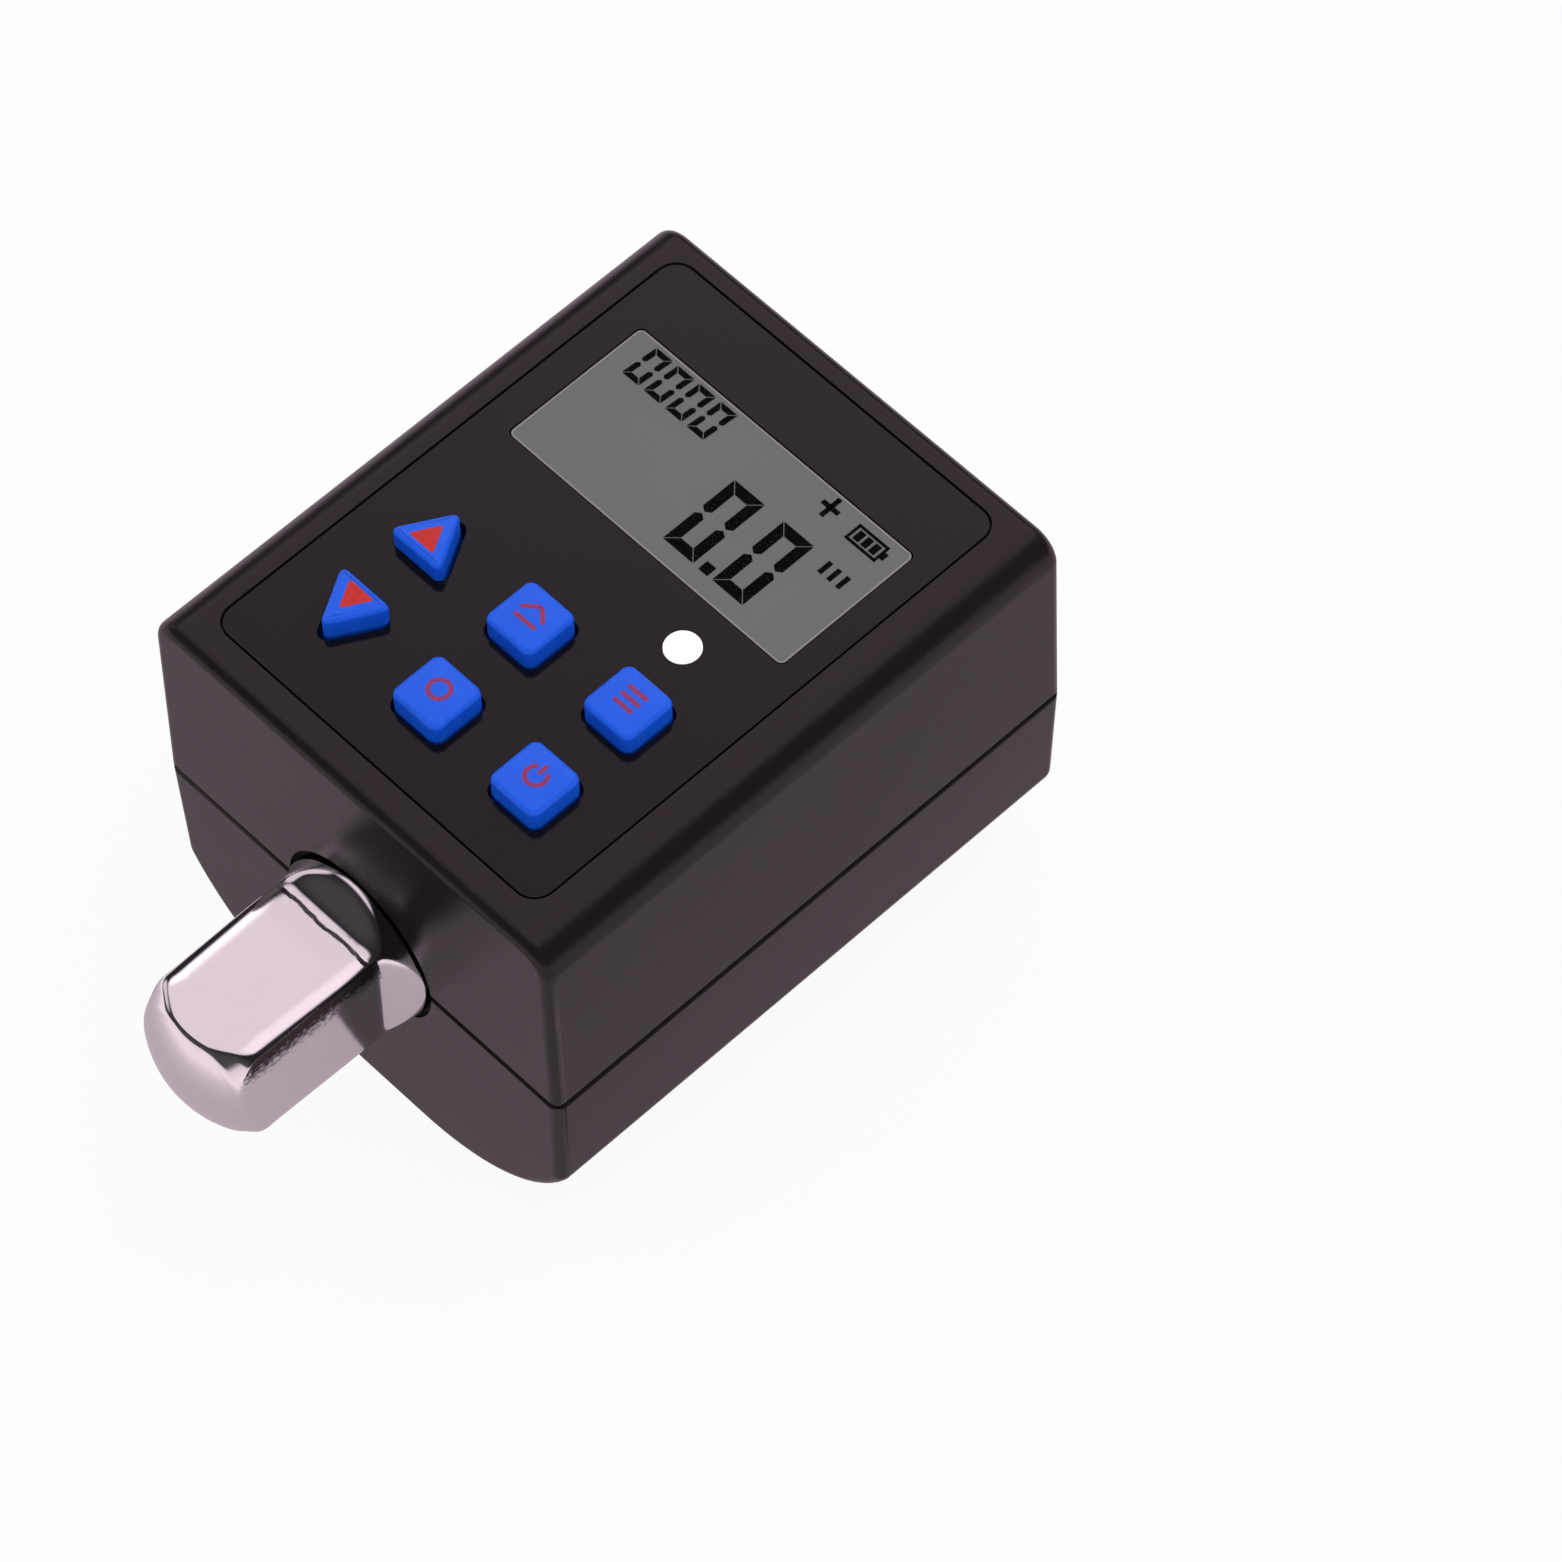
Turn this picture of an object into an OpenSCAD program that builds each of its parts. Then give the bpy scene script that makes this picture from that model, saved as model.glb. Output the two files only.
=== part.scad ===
// Digital torque adapter: a square drive shaft with strain gauges runs through
// a two-part case that carries a display, six keys, a lamp and two cells.
// Built about the shaft axis: X to the right of the display, Y from the male
// square to the socket, Z up. Every node is then set down on its belly.

/* [Case] */
// Width of the case at the seam
case_w = 50; // [49:0.5:54]
// Length of the case from front face to rear face
case_l = 61.2; // [61:0.2:66]
// Height of the upper case above the seam, which is the shaft axis
seam_to_top = 23.2; // [23:0.1:26]
// Depth of the lower case below the seam
seam_to_bottom = 24.8; // [24.4:0.1:28]
// Thickness of the side, front and rear walls
wall = 2; // [1.6:0.1:2.2]
// Radius of the long upper edges
top_edge_r = 3; // [2.4:0.1:3.6]
// Radius of the edges round the front and rear faces
end_edge_r = 1.1; // [0.6:0.1:1.4]
// Radius of the corner between side wall and belly
low_corner_r = 2.6; // [2.3:0.1:3.4]
// Width of the flat strip that the adapter rests on
belly_flat_w = 11.4; // [9:0.2:14]
// Distance that the belly's radius exceeds its reach from the strip to the side
belly_over = 2.3; // [1.8:0.1:4.2]
// Lean of the walls, in degrees
draft = 0.6; // [0:0.1:1]
// Depth of the groove that shows along the seam
seam_groove = 0.25; // [0.15:0.05:0.35]

/* [Face panel] */
// Distance from the side of the case to the panel
panel_side = 4.9; // [4.2:0.1:5.2]
// Distance of the panel's centre to the left of the shaft's axis
panel_left = 0.48; // [0:0.02:0.6]
// Distance from the front face to the panel
panel_front = 3.7; // [3.6:0.1:4.4]
// Distance from the panel to the rear face
panel_rear = 2.7; // [2.2:0.1:3]
// Thickness of the panel and depth of its recess
panel_t = 1; // [0.8:0.1:1.2]
// Corner radius of the panel
panel_r = 2; // [1:0.1:3]
// Gap round the panel
panel_gap = 0.2; // [0.1:0.05:0.3]
// Distance from the panel's side to the display window
window_side = 3; // [2.9:0.1:4.1]
// Distance of the window's centre to the left of the shaft's axis
window_left = 0.2; // [0:0.05:0.25]
// Length of the display window, as a share of the panel's
window_share = 0.2938; // [0.26:0.0001:0.3]
// Centre of the window from the panel's near edge, as a share of its length
window_place_share = 0.718; // [0.715:0.0001:0.73]
// Corner radius of the window
window_r = 0.6; // [0.3:0.1:1]
// Thickness of the clear lens
lens_t = 0.7; // [0.5:0.1:0.8]
// Thickness of the display cell
display_t = 2; // [1.6:0.1:2.2]
// Diameter of the lamp
lamp_d = 3.4; // [3:0.1:3.8]
// Lamp's place to the right of the centre line, as a share of the panel's width
lamp_side_share = 0.2388; // [0.21:0.0001:0.25]
// Lamp's place from the panel's near edge, as a share of its length
lamp_place_share = 0.4872; // [0.48:0.0001:0.49]

/* [Keys] */
// Side of a square key
key_size = 5.8; // [5:0.1:6.2]
// Width of an arrow key's base
arrow_w = 6.6; // [5.4:0.1:6.8]
// Height of an arrow key from base to point
arrow_l = 5.7; // [5:0.1:6]
// Corner radius of a square key
key_r = 0.9; // [0.5:0.1:1.2]
// Corner radius of an arrow key
arrow_r = 0.6; // [0.4:0.1:0.8]
// Radius round the top of a key
key_edge_r = 0.5; // [0.3:0.1:0.7]
// Height of a key above the panel
key_proud = 2.05; // [1.6:0.05:2.6]
// Travel of a key
key_travel = 1; // [0.8:0.1:1]
// Gap between a key and its well
key_gap = 0.3; // [0.25:0.05:0.6]
// Distance of the middle column to the left of the shaft's axis
keys_left = 0.75; // [0:0.05:0.9]
// Distance that the far arrow key stands behind its row
arrow_back = 0.8; // [0:0.1:1]
// Distance between key columns, as a share of the panel's width
column_share = 0.301; // [0.294:0.0001:0.304]
// Distance between key rows, as a share of the panel's length
row_share = 0.1971; // [0.19:0.0001:0.2]
// Centre of the near key row from the panel's near edge, as a share of its length
row_place_share = 0.1442; // [0.139:0.0001:0.148]

/* [Drive shaft] */
// Across flats of the male square
drive_af = 12.6; // [12.4:0.05:12.7]
// Reach of the male square from the front face
drive_reach = 21.5; // [20:0.5:24]
// Diameter of the turned neck
neck_d = 17; // [16.8:0.1:17.2]
// Diameter of the square's turned corners near the tip
tip_d = 16.6; // [16.4:0.1:16.8]
// Length of the ramps where the flats run out
ramp_l = 3; // [2.6:0.1:3.4]
// Diameter of the waist that carries the gauges
waist_d = 14; // [13:0.5:15]
// Diameter of the socket hub
hub_d = 23; // [22.6:0.1:23.2]
// Distance that the hub stands out of the rear face
hub_proud = 0.5; // [0.3:0.1:1]
// Across flats of the square socket
socket_af = 12.8; // [12.75:0.05:13]
// Depth of the square socket
socket_depth = 17; // [16:0.5:18]
// Diameter of the detent ball
ball_d = 4.6; // [4.2:0.1:4.8]
// Distance that the ball stands out of the flat
ball_proud = 0.8; // [0.6:0.05:0.9]

/* [Cells] */
// Diameter of a battery cell
cell_d = 10.5; // [10.2:0.1:10.5]
// Length of the case beyond the length of a cell
cell_room = 16.7; // [16.4:0.1:17.2]
// Distance of a cell from the centre line, as a share of the case's width
cell_share = 0.196; // [0.193:0.0001:0.198]
// Thickness of the battery door
door_t = 1.9; // [1.7:0.1:2]

/* [Fits] */
// Radial gap of a running fit
running_fit = 0.05; // [0.02:0.01:0.08]
// Gap between pieces that are set together
seat_gap = 0.1; // [0.05:0.01:0.15]
// Gap round what slides or stands free
free_gap = 0.3; // [0.2:0.05:0.4]

/* [Hidden] */
$fn = 64;

over = 1;
slice = 0.01;
soft_fn = 32;

case_black = [0.17, 0.15, 0.16];
panel_black = [0.12, 0.11, 0.12];
key_blue = [0.12, 0.32, 0.92];
mat_blue = [0.2, 0.35, 0.8];
chrome_grey = [0.82, 0.80, 0.82];

// Outline of the case across the shaft
half_w = case_w / 2;
top_half_w = half_w - seam_to_top * tan(draft);
low_half_w = half_w - 0.01 * case_w;
belly_cx = belly_flat_w / 2;
belly_r = low_half_w - belly_cx + belly_over;
belly_cz = belly_r - seam_to_bottom;
low_cx = low_half_w - low_corner_r;
low_cz = belly_cz - sqrt(pow(belly_r - low_corner_r, 2) - pow(low_cx - belly_cx, 2));
low_turn = acos((low_cx - belly_cx) / (belly_r - low_corner_r));
top_cx = top_half_w - top_edge_r;
top_cz = seam_to_top - top_edge_r;
seam_overlap = wall;
top_steps = 12;
low_steps = 8;
belly_steps = 16;
edge_steps = 7;

// Heights from the panel down to the board
panel_top = seam_to_top - seat_gap / 2;
panel_bed = seam_to_top - panel_t;
top_wall = 0.7 * wall;
ceiling = panel_bed - top_wall;
lens_bottom = panel_top - lens_t;
display_top = lens_bottom - seat_gap / 2;
display_bottom = display_top - display_t;
key_flange_t = 0.8;
key_flange_lip = 1;
key_flange_top = ceiling - seat_gap;
key_flange_bottom = key_flange_top - key_flange_t;
pad_t = 0.8;
pad_r = 1.5;
board_drop = 4.8;
board_t = 1.2;
board_top = ceiling - board_drop;
board_bottom = board_top - board_t;
pad_bottom = board_top + key_travel + seat_gap;

// Panel, window, lamp and keys along the shaft
panel_w = case_w - 2 * panel_side;
panel_l = case_l - panel_front - panel_rear;
panel_mid = panel_front + panel_l / 2;
window_w = panel_w - 2 * window_side;
window_l = window_share * panel_l;
window_mid = panel_front + window_place_share * panel_l;
lamp_place = [lamp_side_share * panel_w, panel_front + lamp_place_share * panel_l];
key_pitch_x = column_share * panel_w;
key_pitch_y = row_share * panel_l;
row_near = panel_front + row_place_share * panel_l;
row_far = row_near + key_pitch_y;
up_place = [-keys_left - key_pitch_x, row_far + arrow_back];
down_place = [-keys_left - key_pitch_x, row_near];
peak_place = [-keys_left, row_far];
unit_place = [-keys_left, row_near];
mode_place = [key_pitch_x - keys_left, row_far];
clear_place = [key_pitch_x - keys_left, row_near];

// Board and what it carries
board_side = 5.3;
board_half = half_w - wall - board_side;
board_near = wall + 1.2;
board_far = case_l - wall - 1.2;
board_boss_r = 2;
board_boss_x = board_half - board_boss_r - 0.2;
board_boss_near = board_near + board_boss_r - 0.2;
board_boss_far = board_far - board_boss_r - 0.6;
board_bosses = [
    [0, board_boss_near], [-board_boss_x, lamp_place[1]], [board_boss_x, lamp_place[1]],
    [-board_boss_x, board_boss_far], [board_boss_x, board_boss_far]
];
board_screw_r = 0.8;
board_head_r = 1.6;
board_head_t = 1;
board_screw_l = 3.4;
board_slot_w = 0.4;
frame_rim = 0.5;
frame_ledge = 2.9;
frame_inner_l = window_l - 2 * frame_ledge;
strip_w = 1.6;
strip_end = 1.9;
strip_edge = 1.4;
strip_l = window_w - 2 * strip_end;
strip_y = window_l / 2 - strip_edge;
glass_gap = 0.2;
buzzer_r = 4.5;
buzzer_t = 3;
buzzer_side = 6.6;
buzzer_back = 2.2;
buzzer_vent_r = 0.9;
lamp_r = lamp_d / 2;
lamp_flange_r = lamp_r + 0.3;
lamp_flange_t = 1.6;
lamp_dome = 0.2;
chip_t = 1.4;
chip_leg_t = 0.3;
chip_leg_w = 0.4;
chip_leg_reach = 0.9;
chip_leg_pitch = 1.2;
processor_size = [9, 9];
processor_place = [8.4, row_near + key_pitch_y / 2];
converter_size = [6.6, 5];
converter_back = 3;
converter_place = [-8.6, row_near + converter_back];
regulator_size = [4.4, 3.6];
regulator_front = 4;
regulator_place = [7.6, window_mid - regulator_front];
crystal_size = [3.4, 8];
crystal_back = 3;
crystal_place = [-7.8, window_mid + crystal_back];
mat_t = 0.5;
mat_side = 4.6;
mat_half = key_pitch_x + mat_side;
mat_margin = 4.2;
dome_top_r = 2.5;
dome_foot_r = 3.5;
dome_wall = 0.5;

// Shaft along its axis, from the tip of the square to the socket's mouth
drive_half = drive_af / 2;
neck_r = neck_d / 2;
tip_r = tip_d / 2;
blank_r = max(neck_r, tip_r);
dome_r = 13;
tip_face_r = 6.6;
tip_chamfer = 2;
taper_l = 10.6;
dome_steps = 6;
tip_face_y = dome_r - sqrt(pow(dome_r, 2) - pow(tip_face_r, 2)) - drive_reach;
taper_y = tip_face_y + tip_chamfer;
ramp_end = 0.3;
ramp_start = ramp_end - ramp_l;
ramp_rise = neck_r + over / 2 - drive_half;
ramp_turn = atan(ramp_rise / ramp_l);
ramp_fillet = 1.2;
ramp_steps = 5;
bush_l = 4.4;
bush_wall = 1.8;
neck_hole_r = 9.05;
bush_near = wall + seat_gap;
bush_far = bush_near + bush_l;
bush_r = neck_r + running_fit;
bush_out_r = bush_r + bush_wall;
collar_wall = 2.4;
front_collar_r = bush_out_r + running_fit + collar_wall;
ring_t = 1;
ring_near = bush_far + seat_gap;
ring_groove = 0.8;
ring_groove_r = neck_r - ring_groove;
ring_lip = 1.7;
ring_out_r = neck_r + ring_lip;
ring_opening = 40;
waist_r = waist_d / 2;
waist_fillet = 3;
waist_shoulder = 2.4;
waist_near = ring_near + ring_t + waist_shoulder;
hub_r = hub_d / 2;
hub_mouth = case_l + hub_proud;
hub_solid = 8.7;
hub_near = hub_mouth - socket_depth - hub_solid;
hub_chamfer = 0.7;
waist_far = hub_near - waist_fillet;
waist_steps = 5;
gauge_flat_z = waist_r - 0.5;
gauge_flat_share = 0.609;
gauge_flat_l = gauge_flat_share * (waist_far - waist_near);
gauge_flat_mid = (waist_near + waist_far) / 2;
gauge_t = 0.15;
gauge_share = 0.348;
gauge_w = 5;
gauge_size = [gauge_w, gauge_share * (waist_far - waist_near)];
socket_half = socket_af / 2;
socket_corner_r = 0.6;
socket_lead_r = 9.5;
socket_lead = 2;
pilot_r = socket_half + 0.1;
pilot_extra = 2.6;
catch_r = socket_half + 1.1;
catch_w = 3.6;
catch_depth = 9;
rear_bush_wall = 1;
rear_bush_l = 4;
rear_bush_r = hub_r + running_fit;
rear_bush_out_r = rear_bush_r + rear_bush_wall;
rear_hole_r = hub_r + 0.4;
rear_bush_far = case_l - wall - seat_gap;
rear_bush_near = rear_bush_far - rear_bush_l;
rear_collar_r = rear_bush_out_r + running_fit + 1.4;
pin_r = 1.5;
pin_y = hub_near + 2.6;
pin_depth = 4.2;
pin_seat = 3.2;
pin_chamfer = 0.3;

// Detent in the lower flat of the square
ball_r = ball_d / 2;
ball_back = 8.9;
ball_y = ball_back - drive_reach;
ball_z = ball_r - ball_proud - drive_half;
ball_bore_r = ball_r + running_fit;
ball_mouth_r = sqrt(pow(ball_r, 2) - pow(ball_r - ball_proud, 2)) + 0.08;
ball_lip = 0.6;
ball_bore_end = 3.2;
detent_wire_r = 0.28;
detent_coil_r = 1.5;
detent_turns = 5;
detent_foot = ball_z + sqrt(pow(ball_r, 2) - pow(detent_coil_r, 2)) + detent_wire_r + seat_gap;

// Battery compartment
cell_gap = 0.35;
cell_r = cell_d / 2;
cell_l = case_l - cell_room;
cell_x = cell_share * case_w;
cell_z = belly_z(cell_x) + door_t + cell_gap + cell_r;
cell_nub_r = 1.9;
cell_nub_l = 1;
cell_cap_t = 0.4;
shelf_t = 1.2;
shelf_bottom = cell_z + cell_r + cell_gap;
shelf_top = shelf_bottom + shelf_t;
tunnel_r = hub_r + 0.7;
tunnel_t = 1.2;
end_wall_t = 1.2;
cell_wall_near = wall + 2.6;
plate_near = cell_wall_near + end_wall_t;
plate_far = case_l - wall - 2.9;
plate_t = 0.4;
plate_gap = 0.05;
cell_free = plate_far - plate_near - 2 * plate_t - cell_l;
spring_l = cell_free - 2 * plate_gap - seat_gap;
cell_a_near = plate_near + plate_t + plate_gap + seat_gap;
cell_b_near = plate_far - plate_t - plate_gap - seat_gap - cell_l;
opening_half = cell_x + cell_r + 0.25;
tongue = 0.8;
tongue_half = opening_half + tongue;
door_gap = 0.12;
door_near = cell_wall_near + end_wall_t + 1;
door_skin = 0.9;
door_grip_n = 6;
door_grip_pitch = 1.6;
door_grip_w = 0.8;
door_grip_depth = 0.35;
door_grip_half = 6.4;
door_grip_far = case_l - 4;
side_wall_t = 1;
plate_half = 4.5;
plate_bottom = belly_z(cell_x + plate_half) + door_t + free_gap;
plate_top = cell_z + plate_half;
link_top = -rear_collar_r - seat_gap;
tab_x = cell_x + plate_half + 0.3;
tab_w = 1.6;
tab_top = shelf_top + 1.2;
tab_slot = 0.5;
battery_wire_r = 0.5;
battery_wire_y = plate_near + plate_t + battery_wire_r;
coil_wire_r = 0.3;
coil_r = 2.6;
coil_turns = 4;

// Screws and posts
post_r = 2.6;
post_x = half_w - wall - post_r + 0.1;
post_near = 8.6;
post_far = case_l - post_near;
post_places = [[-post_x, post_near], [post_x, post_near], [-post_x, post_far], [post_x, post_far]];
screw_r = 1.2;
screw_hole_r = 1.4;
screw_head_r = 2.05;
screw_head_t = 1.5;
screw_head_hole_r = 2.2;
screw_seat = -6;
screw_reach = 9;
screw_slot_w = 0.6;
screw_slot_depth = 0.7;
lip_t = 0.8;
lip_h = 1;
lip_near = post_near + post_r + 1;
lip_far = post_far - post_r - 1;

// Gauge wires
wire_r = 0.35;
wire_bend = 1.6;
wire_n = 4;
wire_pitch = 1.2;
wire_row = (wire_n - 1) * wire_pitch;
buzzer_place = [-buzzer_side - wire_row / 2, lamp_place[1] - buzzer_back];
wire_foot_y = gauge_flat_mid + gauge_size[1] / 2 + 0.2;
wire_z = gauge_flat_z + wire_r + seat_gap;

mid_y = (hub_mouth - drive_reach) / 2;

// Height of the belly's outside at a distance from the centre line
function belly_z(x) =
    belly_cz - sqrt(pow(belly_r, 2) - pow(max(0, abs(x) - belly_cx), 2));

// Points along an arc
function arc(cx, cy, r, from, to, steps) =
    [for (i = [0:steps]) let (a = from + (to - from) * i / steps) [cx + r * cos(a), cy + r * sin(a)]];

function flip_x(points) = [for (i = [len(points) - 1:-1:0]) [-points[i][0], points[i][1]]];

// Right half of the upper outline, from the seam up, drawn in by an inset
function upper_half(inset) = concat(
    [[half_w - inset, -seam_overlap], [half_w - inset, 0]],
    arc(top_cx, top_cz, top_edge_r - inset, 0, 90, top_steps)
);

// Right half of the lower outline, from the belly up, drawn in by an inset
function lower_half(inset) = concat(
    arc(belly_cx, belly_cz, belly_r - inset, -90, -low_turn, belly_steps),
    arc(low_cx, low_cz, low_corner_r - inset, -low_turn, 0, low_steps),
    [[half_w - inset, 0], [half_w - inset, seam_overlap]]
);

module place() {
    translate([0, -mid_y, seam_to_bottom])
        children();
}

// A flat shape in X and Z, drawn out along the shaft
module along_y(near, far) {
    translate([0, far, 0])
        rotate([90, 0, 0])
            linear_extrude(far - near)
                children();
}

module disc_y(r, near, far) {
    translate([0, far, 0])
        rotate([90, 90, 0])
            cylinder(r = r, h = far - near);
}

// A shape turned about the shaft axis from [radius, place] points
module turned(points) {
    rotate([-90, 0, 0])
        rotate_extrude()
            polygon(points);
}

module rounded(w, l, r) {
    offset(r = r, $fn = soft_fn)
        square([w - 2 * r, l - 2 * r], center = true);
}

module slab(at, bottom, top) {
    translate([at[0], at[1], bottom])
        linear_extrude(top - bottom)
            children();
}

// Half of the case as a solid: outline slices drawn in towards each end
module end_rounded(upper) {
    hull()
        for (rear = [0, 1], i = [0:edge_steps]) {
            a = 90 * i / edge_steps;
            inset = end_edge_r * (1 - sin(a));
            depth = end_edge_r * (1 - cos(a));
            lean = (upper ? -1 : 1) * (rear == 0 ? 1 : -1) * draft;
            at = rear == 0 ? depth : case_l - depth - slice;
            points = upper ? upper_half(inset) : lower_half(inset);
            translate([0, at, 0])
                rotate([lean, 0, 0])
                    along_y(0, slice)
                        polygon(concat(points, flip_x(points)));
        }
}

// Grooves that break the edge along the seam
module seam_bars() {
    side = seam_groove * sqrt(2);
    for (end = [0, case_l])
        translate([0, end, 0])
            rotate([45, 0, 0])
                cube([case_w + over, side, side], center = true);
    for (end = [-half_w, half_w])
        translate([end, case_l / 2, 0])
            rotate([0, 45, 0])
                cube([side, case_l + over, side], center = true);
}

// Seats and holes for the shaft, cut from both shells
module shaft_way() {
    disc_y(neck_hole_r, -over, case_l / 2);
    disc_y(bush_out_r + running_fit, bush_near - seat_gap, front_collar_far + over);
    disc_y(rear_hole_r, case_l / 2, case_l + over);
    disc_y(rear_bush_out_r + running_fit, rear_bush_near - over, rear_bush_far + seat_gap);
}

front_collar_far = bush_far + seat_gap / 2;

module collars() {
    disc_y(front_collar_r, 0, front_collar_far);
    disc_y(rear_collar_r, rear_bush_near - seat_gap / 2, case_l);
}

module square_key_outline(grow) {
    offset(r = grow, $fn = soft_fn)
        rounded(key_size, key_size, key_r);
}

module arrow_key_outline(grow) {
    offset(r = grow + arrow_r, $fn = soft_fn)
        offset(delta = -arrow_r)
            polygon([
                [-arrow_w / 2, -arrow_l / 2],
                [arrow_w / 2, -arrow_l / 2],
                [0, arrow_l / 2]
            ]);
}

module key_outline(shape, grow) {
    if (shape == "square")
        square_key_outline(grow);
    if (shape == "up")
        arrow_key_outline(grow);
    if (shape == "down")
        rotate(180)
            arrow_key_outline(grow);
}

key_shapes = ["up", "down", "square", "square", "square", "square"];
key_places = [up_place, down_place, peak_place, unit_place, mode_place, clear_place];

module key_wells(bottom, top) {
    for (i = [0:len(key_places) - 1])
        slab(key_places[i], bottom, top)
            key_outline(key_shapes[i], key_gap);
}

module upper_inside() {
    inner = half_w - wall;
    corner = top_edge_r / 3;
    points = concat(
        [[inner, -over], [inner, 0]],
        arc(top_half_w - wall - corner, ceiling - corner, corner, 0, 90, low_steps)
    );
    difference() {
        along_y(wall, case_l - wall)
            polygon(concat(points, flip_x(points)));
        mirror([0, 0, 1])
            collars();
        for (at = post_places)
            translate([at[0], at[1], -over])
                cylinder(r = post_r, h = ceiling + 2 * over);
        for (at = board_bosses)
            translate([at[0], at[1], board_top])
                cylinder(r = board_boss_r, h = board_drop + over);
    }
}

module upper_case() {
    color(case_black)
        place()
            difference() {
                end_rounded(true);
                translate([-case_w, -over, -case_w])
                    cube([2 * case_w, case_l + 2 * over, case_w]);
                upper_inside();
                mirror([0, 0, 1])
                    shaft_way();
                seam_bars();
                slab([-panel_left, panel_mid], panel_bed, seam_to_top + over)
                    rounded(panel_w + 2 * panel_gap, panel_l + 2 * panel_gap, panel_r + panel_gap);
                slab([-window_left, window_mid], ceiling - over, seam_to_top)
                    rounded(window_w, window_l, window_r);
                key_wells(ceiling - over, seam_to_top);
                translate([lamp_place[0], lamp_place[1], ceiling - over])
                    cylinder(r = lamp_r + seat_gap, h = seam_to_top - ceiling);
                for (at = post_places)
                    translate([at[0], at[1], -over])
                        cylinder(r = screw_r + running_fit, h = screw_reach + 2 * over);
                for (at = board_bosses)
                    translate([at[0], at[1], board_top - over])
                        cylinder(r = board_screw_r + running_fit, h = board_screw_l);
                for (side = [-1, 1])
                    translate([side * (half_w - wall) - side * over / 2, (lip_near + lip_far) / 2, 0])
                        cube([
                            2 * (lip_t + seat_gap) + over,
                            lip_far - lip_near + 2 * free_gap,
                            2 * (lip_h + seat_gap)
                        ], center = true);
            }
}

// Cross-section of the door's way, a skin outside and wider tongues inside
module door_section(gap) {
    half = opening_half - door_gap + gap;
    wide = tongue_half - door_gap + gap;
    skin_top = door_skin - gap;
    difference() {
        intersection() {
            union() {
                square([2 * half, 2 * seam_to_bottom], center = true);
                intersection() {
                    square([2 * wide, 2 * seam_to_bottom], center = true);
                    belly_below(skin_top);
                }
            }
            belly_below(gap > 0 ? -over : 0);
        }
        belly_below(door_t + gap);
    }
}

// The space above a parallel of the belly
module belly_below(inset) {
    points = arc(belly_cx, belly_cz, belly_r - inset, -90, -low_turn, belly_steps);
    last = points[len(points) - 1];
    ends = [[last[0], 0]];
    polygon(concat(points, ends, flip_x(ends), flip_x(points)));
}

module door_prism(gap, near) {
    along_y(near, case_l + over)
        door_section(gap);
}

module tunnel_outside() {
    intersection() {
        disc_y(tunnel_r + tunnel_t, wall, case_l - wall);
        translate([-tunnel_r - tunnel_t, 0, -case_w])
            cube([2 * (tunnel_r + tunnel_t), case_l, case_w + shelf_top]);
    }
}

module lower_inside() {
    inner = half_w - wall;
    low_inner = low_corner_r - wall;
    points = concat(
        arc(belly_cx, belly_cz, belly_r - wall, -90, -low_turn, belly_steps),
        arc(low_cx, low_cz, low_inner, -low_turn, 0, low_steps),
        [[inner, 0], [inner, over]]
    );
    difference() {
        along_y(wall, case_l - wall)
            polygon(concat(points, flip_x(points)));
        difference() {
            collars();
            translate([-case_w, -over, 0])
                cube([2 * case_w, case_l + 2 * over, case_w]);
        }
        difference() {
            for (at = post_places)
                translate([at[0], at[1], -case_w])
                    cylinder(r = post_r, h = case_w);
        }
        difference() {
            union() {
                tunnel_outside();
                translate([-half_w, cell_wall_near, shelf_bottom])
                    cube([case_w, plate_far + end_wall_t - cell_wall_near, shelf_t]);
                for (near = [cell_wall_near, plate_far])
                    translate([-tongue_half - side_wall_t, near, -seam_to_bottom])
                        cube([2 * (tongue_half + side_wall_t), end_wall_t, seam_to_bottom + shelf_bottom]);
                for (side = [-1, 1])
                    translate([side * (tongue_half + side_wall_t / 2) - side_wall_t / 2,
                               cell_wall_near, -seam_to_bottom])
                        cube([side_wall_t, plate_far - cell_wall_near, seam_to_bottom + shelf_bottom]);
                translate([0, pin_y, -hub_r - pin_seat - over])
                    cylinder(r = 2 * pin_r, h = pin_seat + over);
            }
            disc_y(tunnel_r, 0, case_l);
            for (side = [-1, 1])
                translate([side * tab_x, plate_near + plate_t / 2, shelf_bottom])
                    cube([tab_w + tab_slot, plate_t + tab_slot, 2 * shelf_t + over], center = true);
        }
    }
}

module lower_case() {
    color(case_black)
        place() {
            difference() {
                end_rounded(false);
                translate([-case_w, -over, 0])
                    cube([2 * case_w, case_l + 2 * over, case_w]);
                lower_inside();
                shaft_way();
                seam_bars();
                door_prism(door_gap, door_near - door_gap);
                translate([0, pin_y, -hub_r - pin_seat])
                    cylinder(r = pin_r + running_fit, h = pin_seat + over);
                for (at = post_places) {
                    translate([at[0], at[1], screw_seat - over])
                        cylinder(r = screw_hole_r, h = 2 * over - screw_seat);
                    translate([at[0], at[1], -seam_to_bottom - over])
                        cylinder(r = screw_head_hole_r, h = seam_to_bottom + over + screw_seat);
                }
            }
            for (side = [-1, 1])
                translate([side * (half_w - wall + lip_t / 2), (lip_near + lip_far) / 2, 0])
                    cube([lip_t, lip_far - lip_near, 2 * lip_h], center = true);
        }
}

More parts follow.
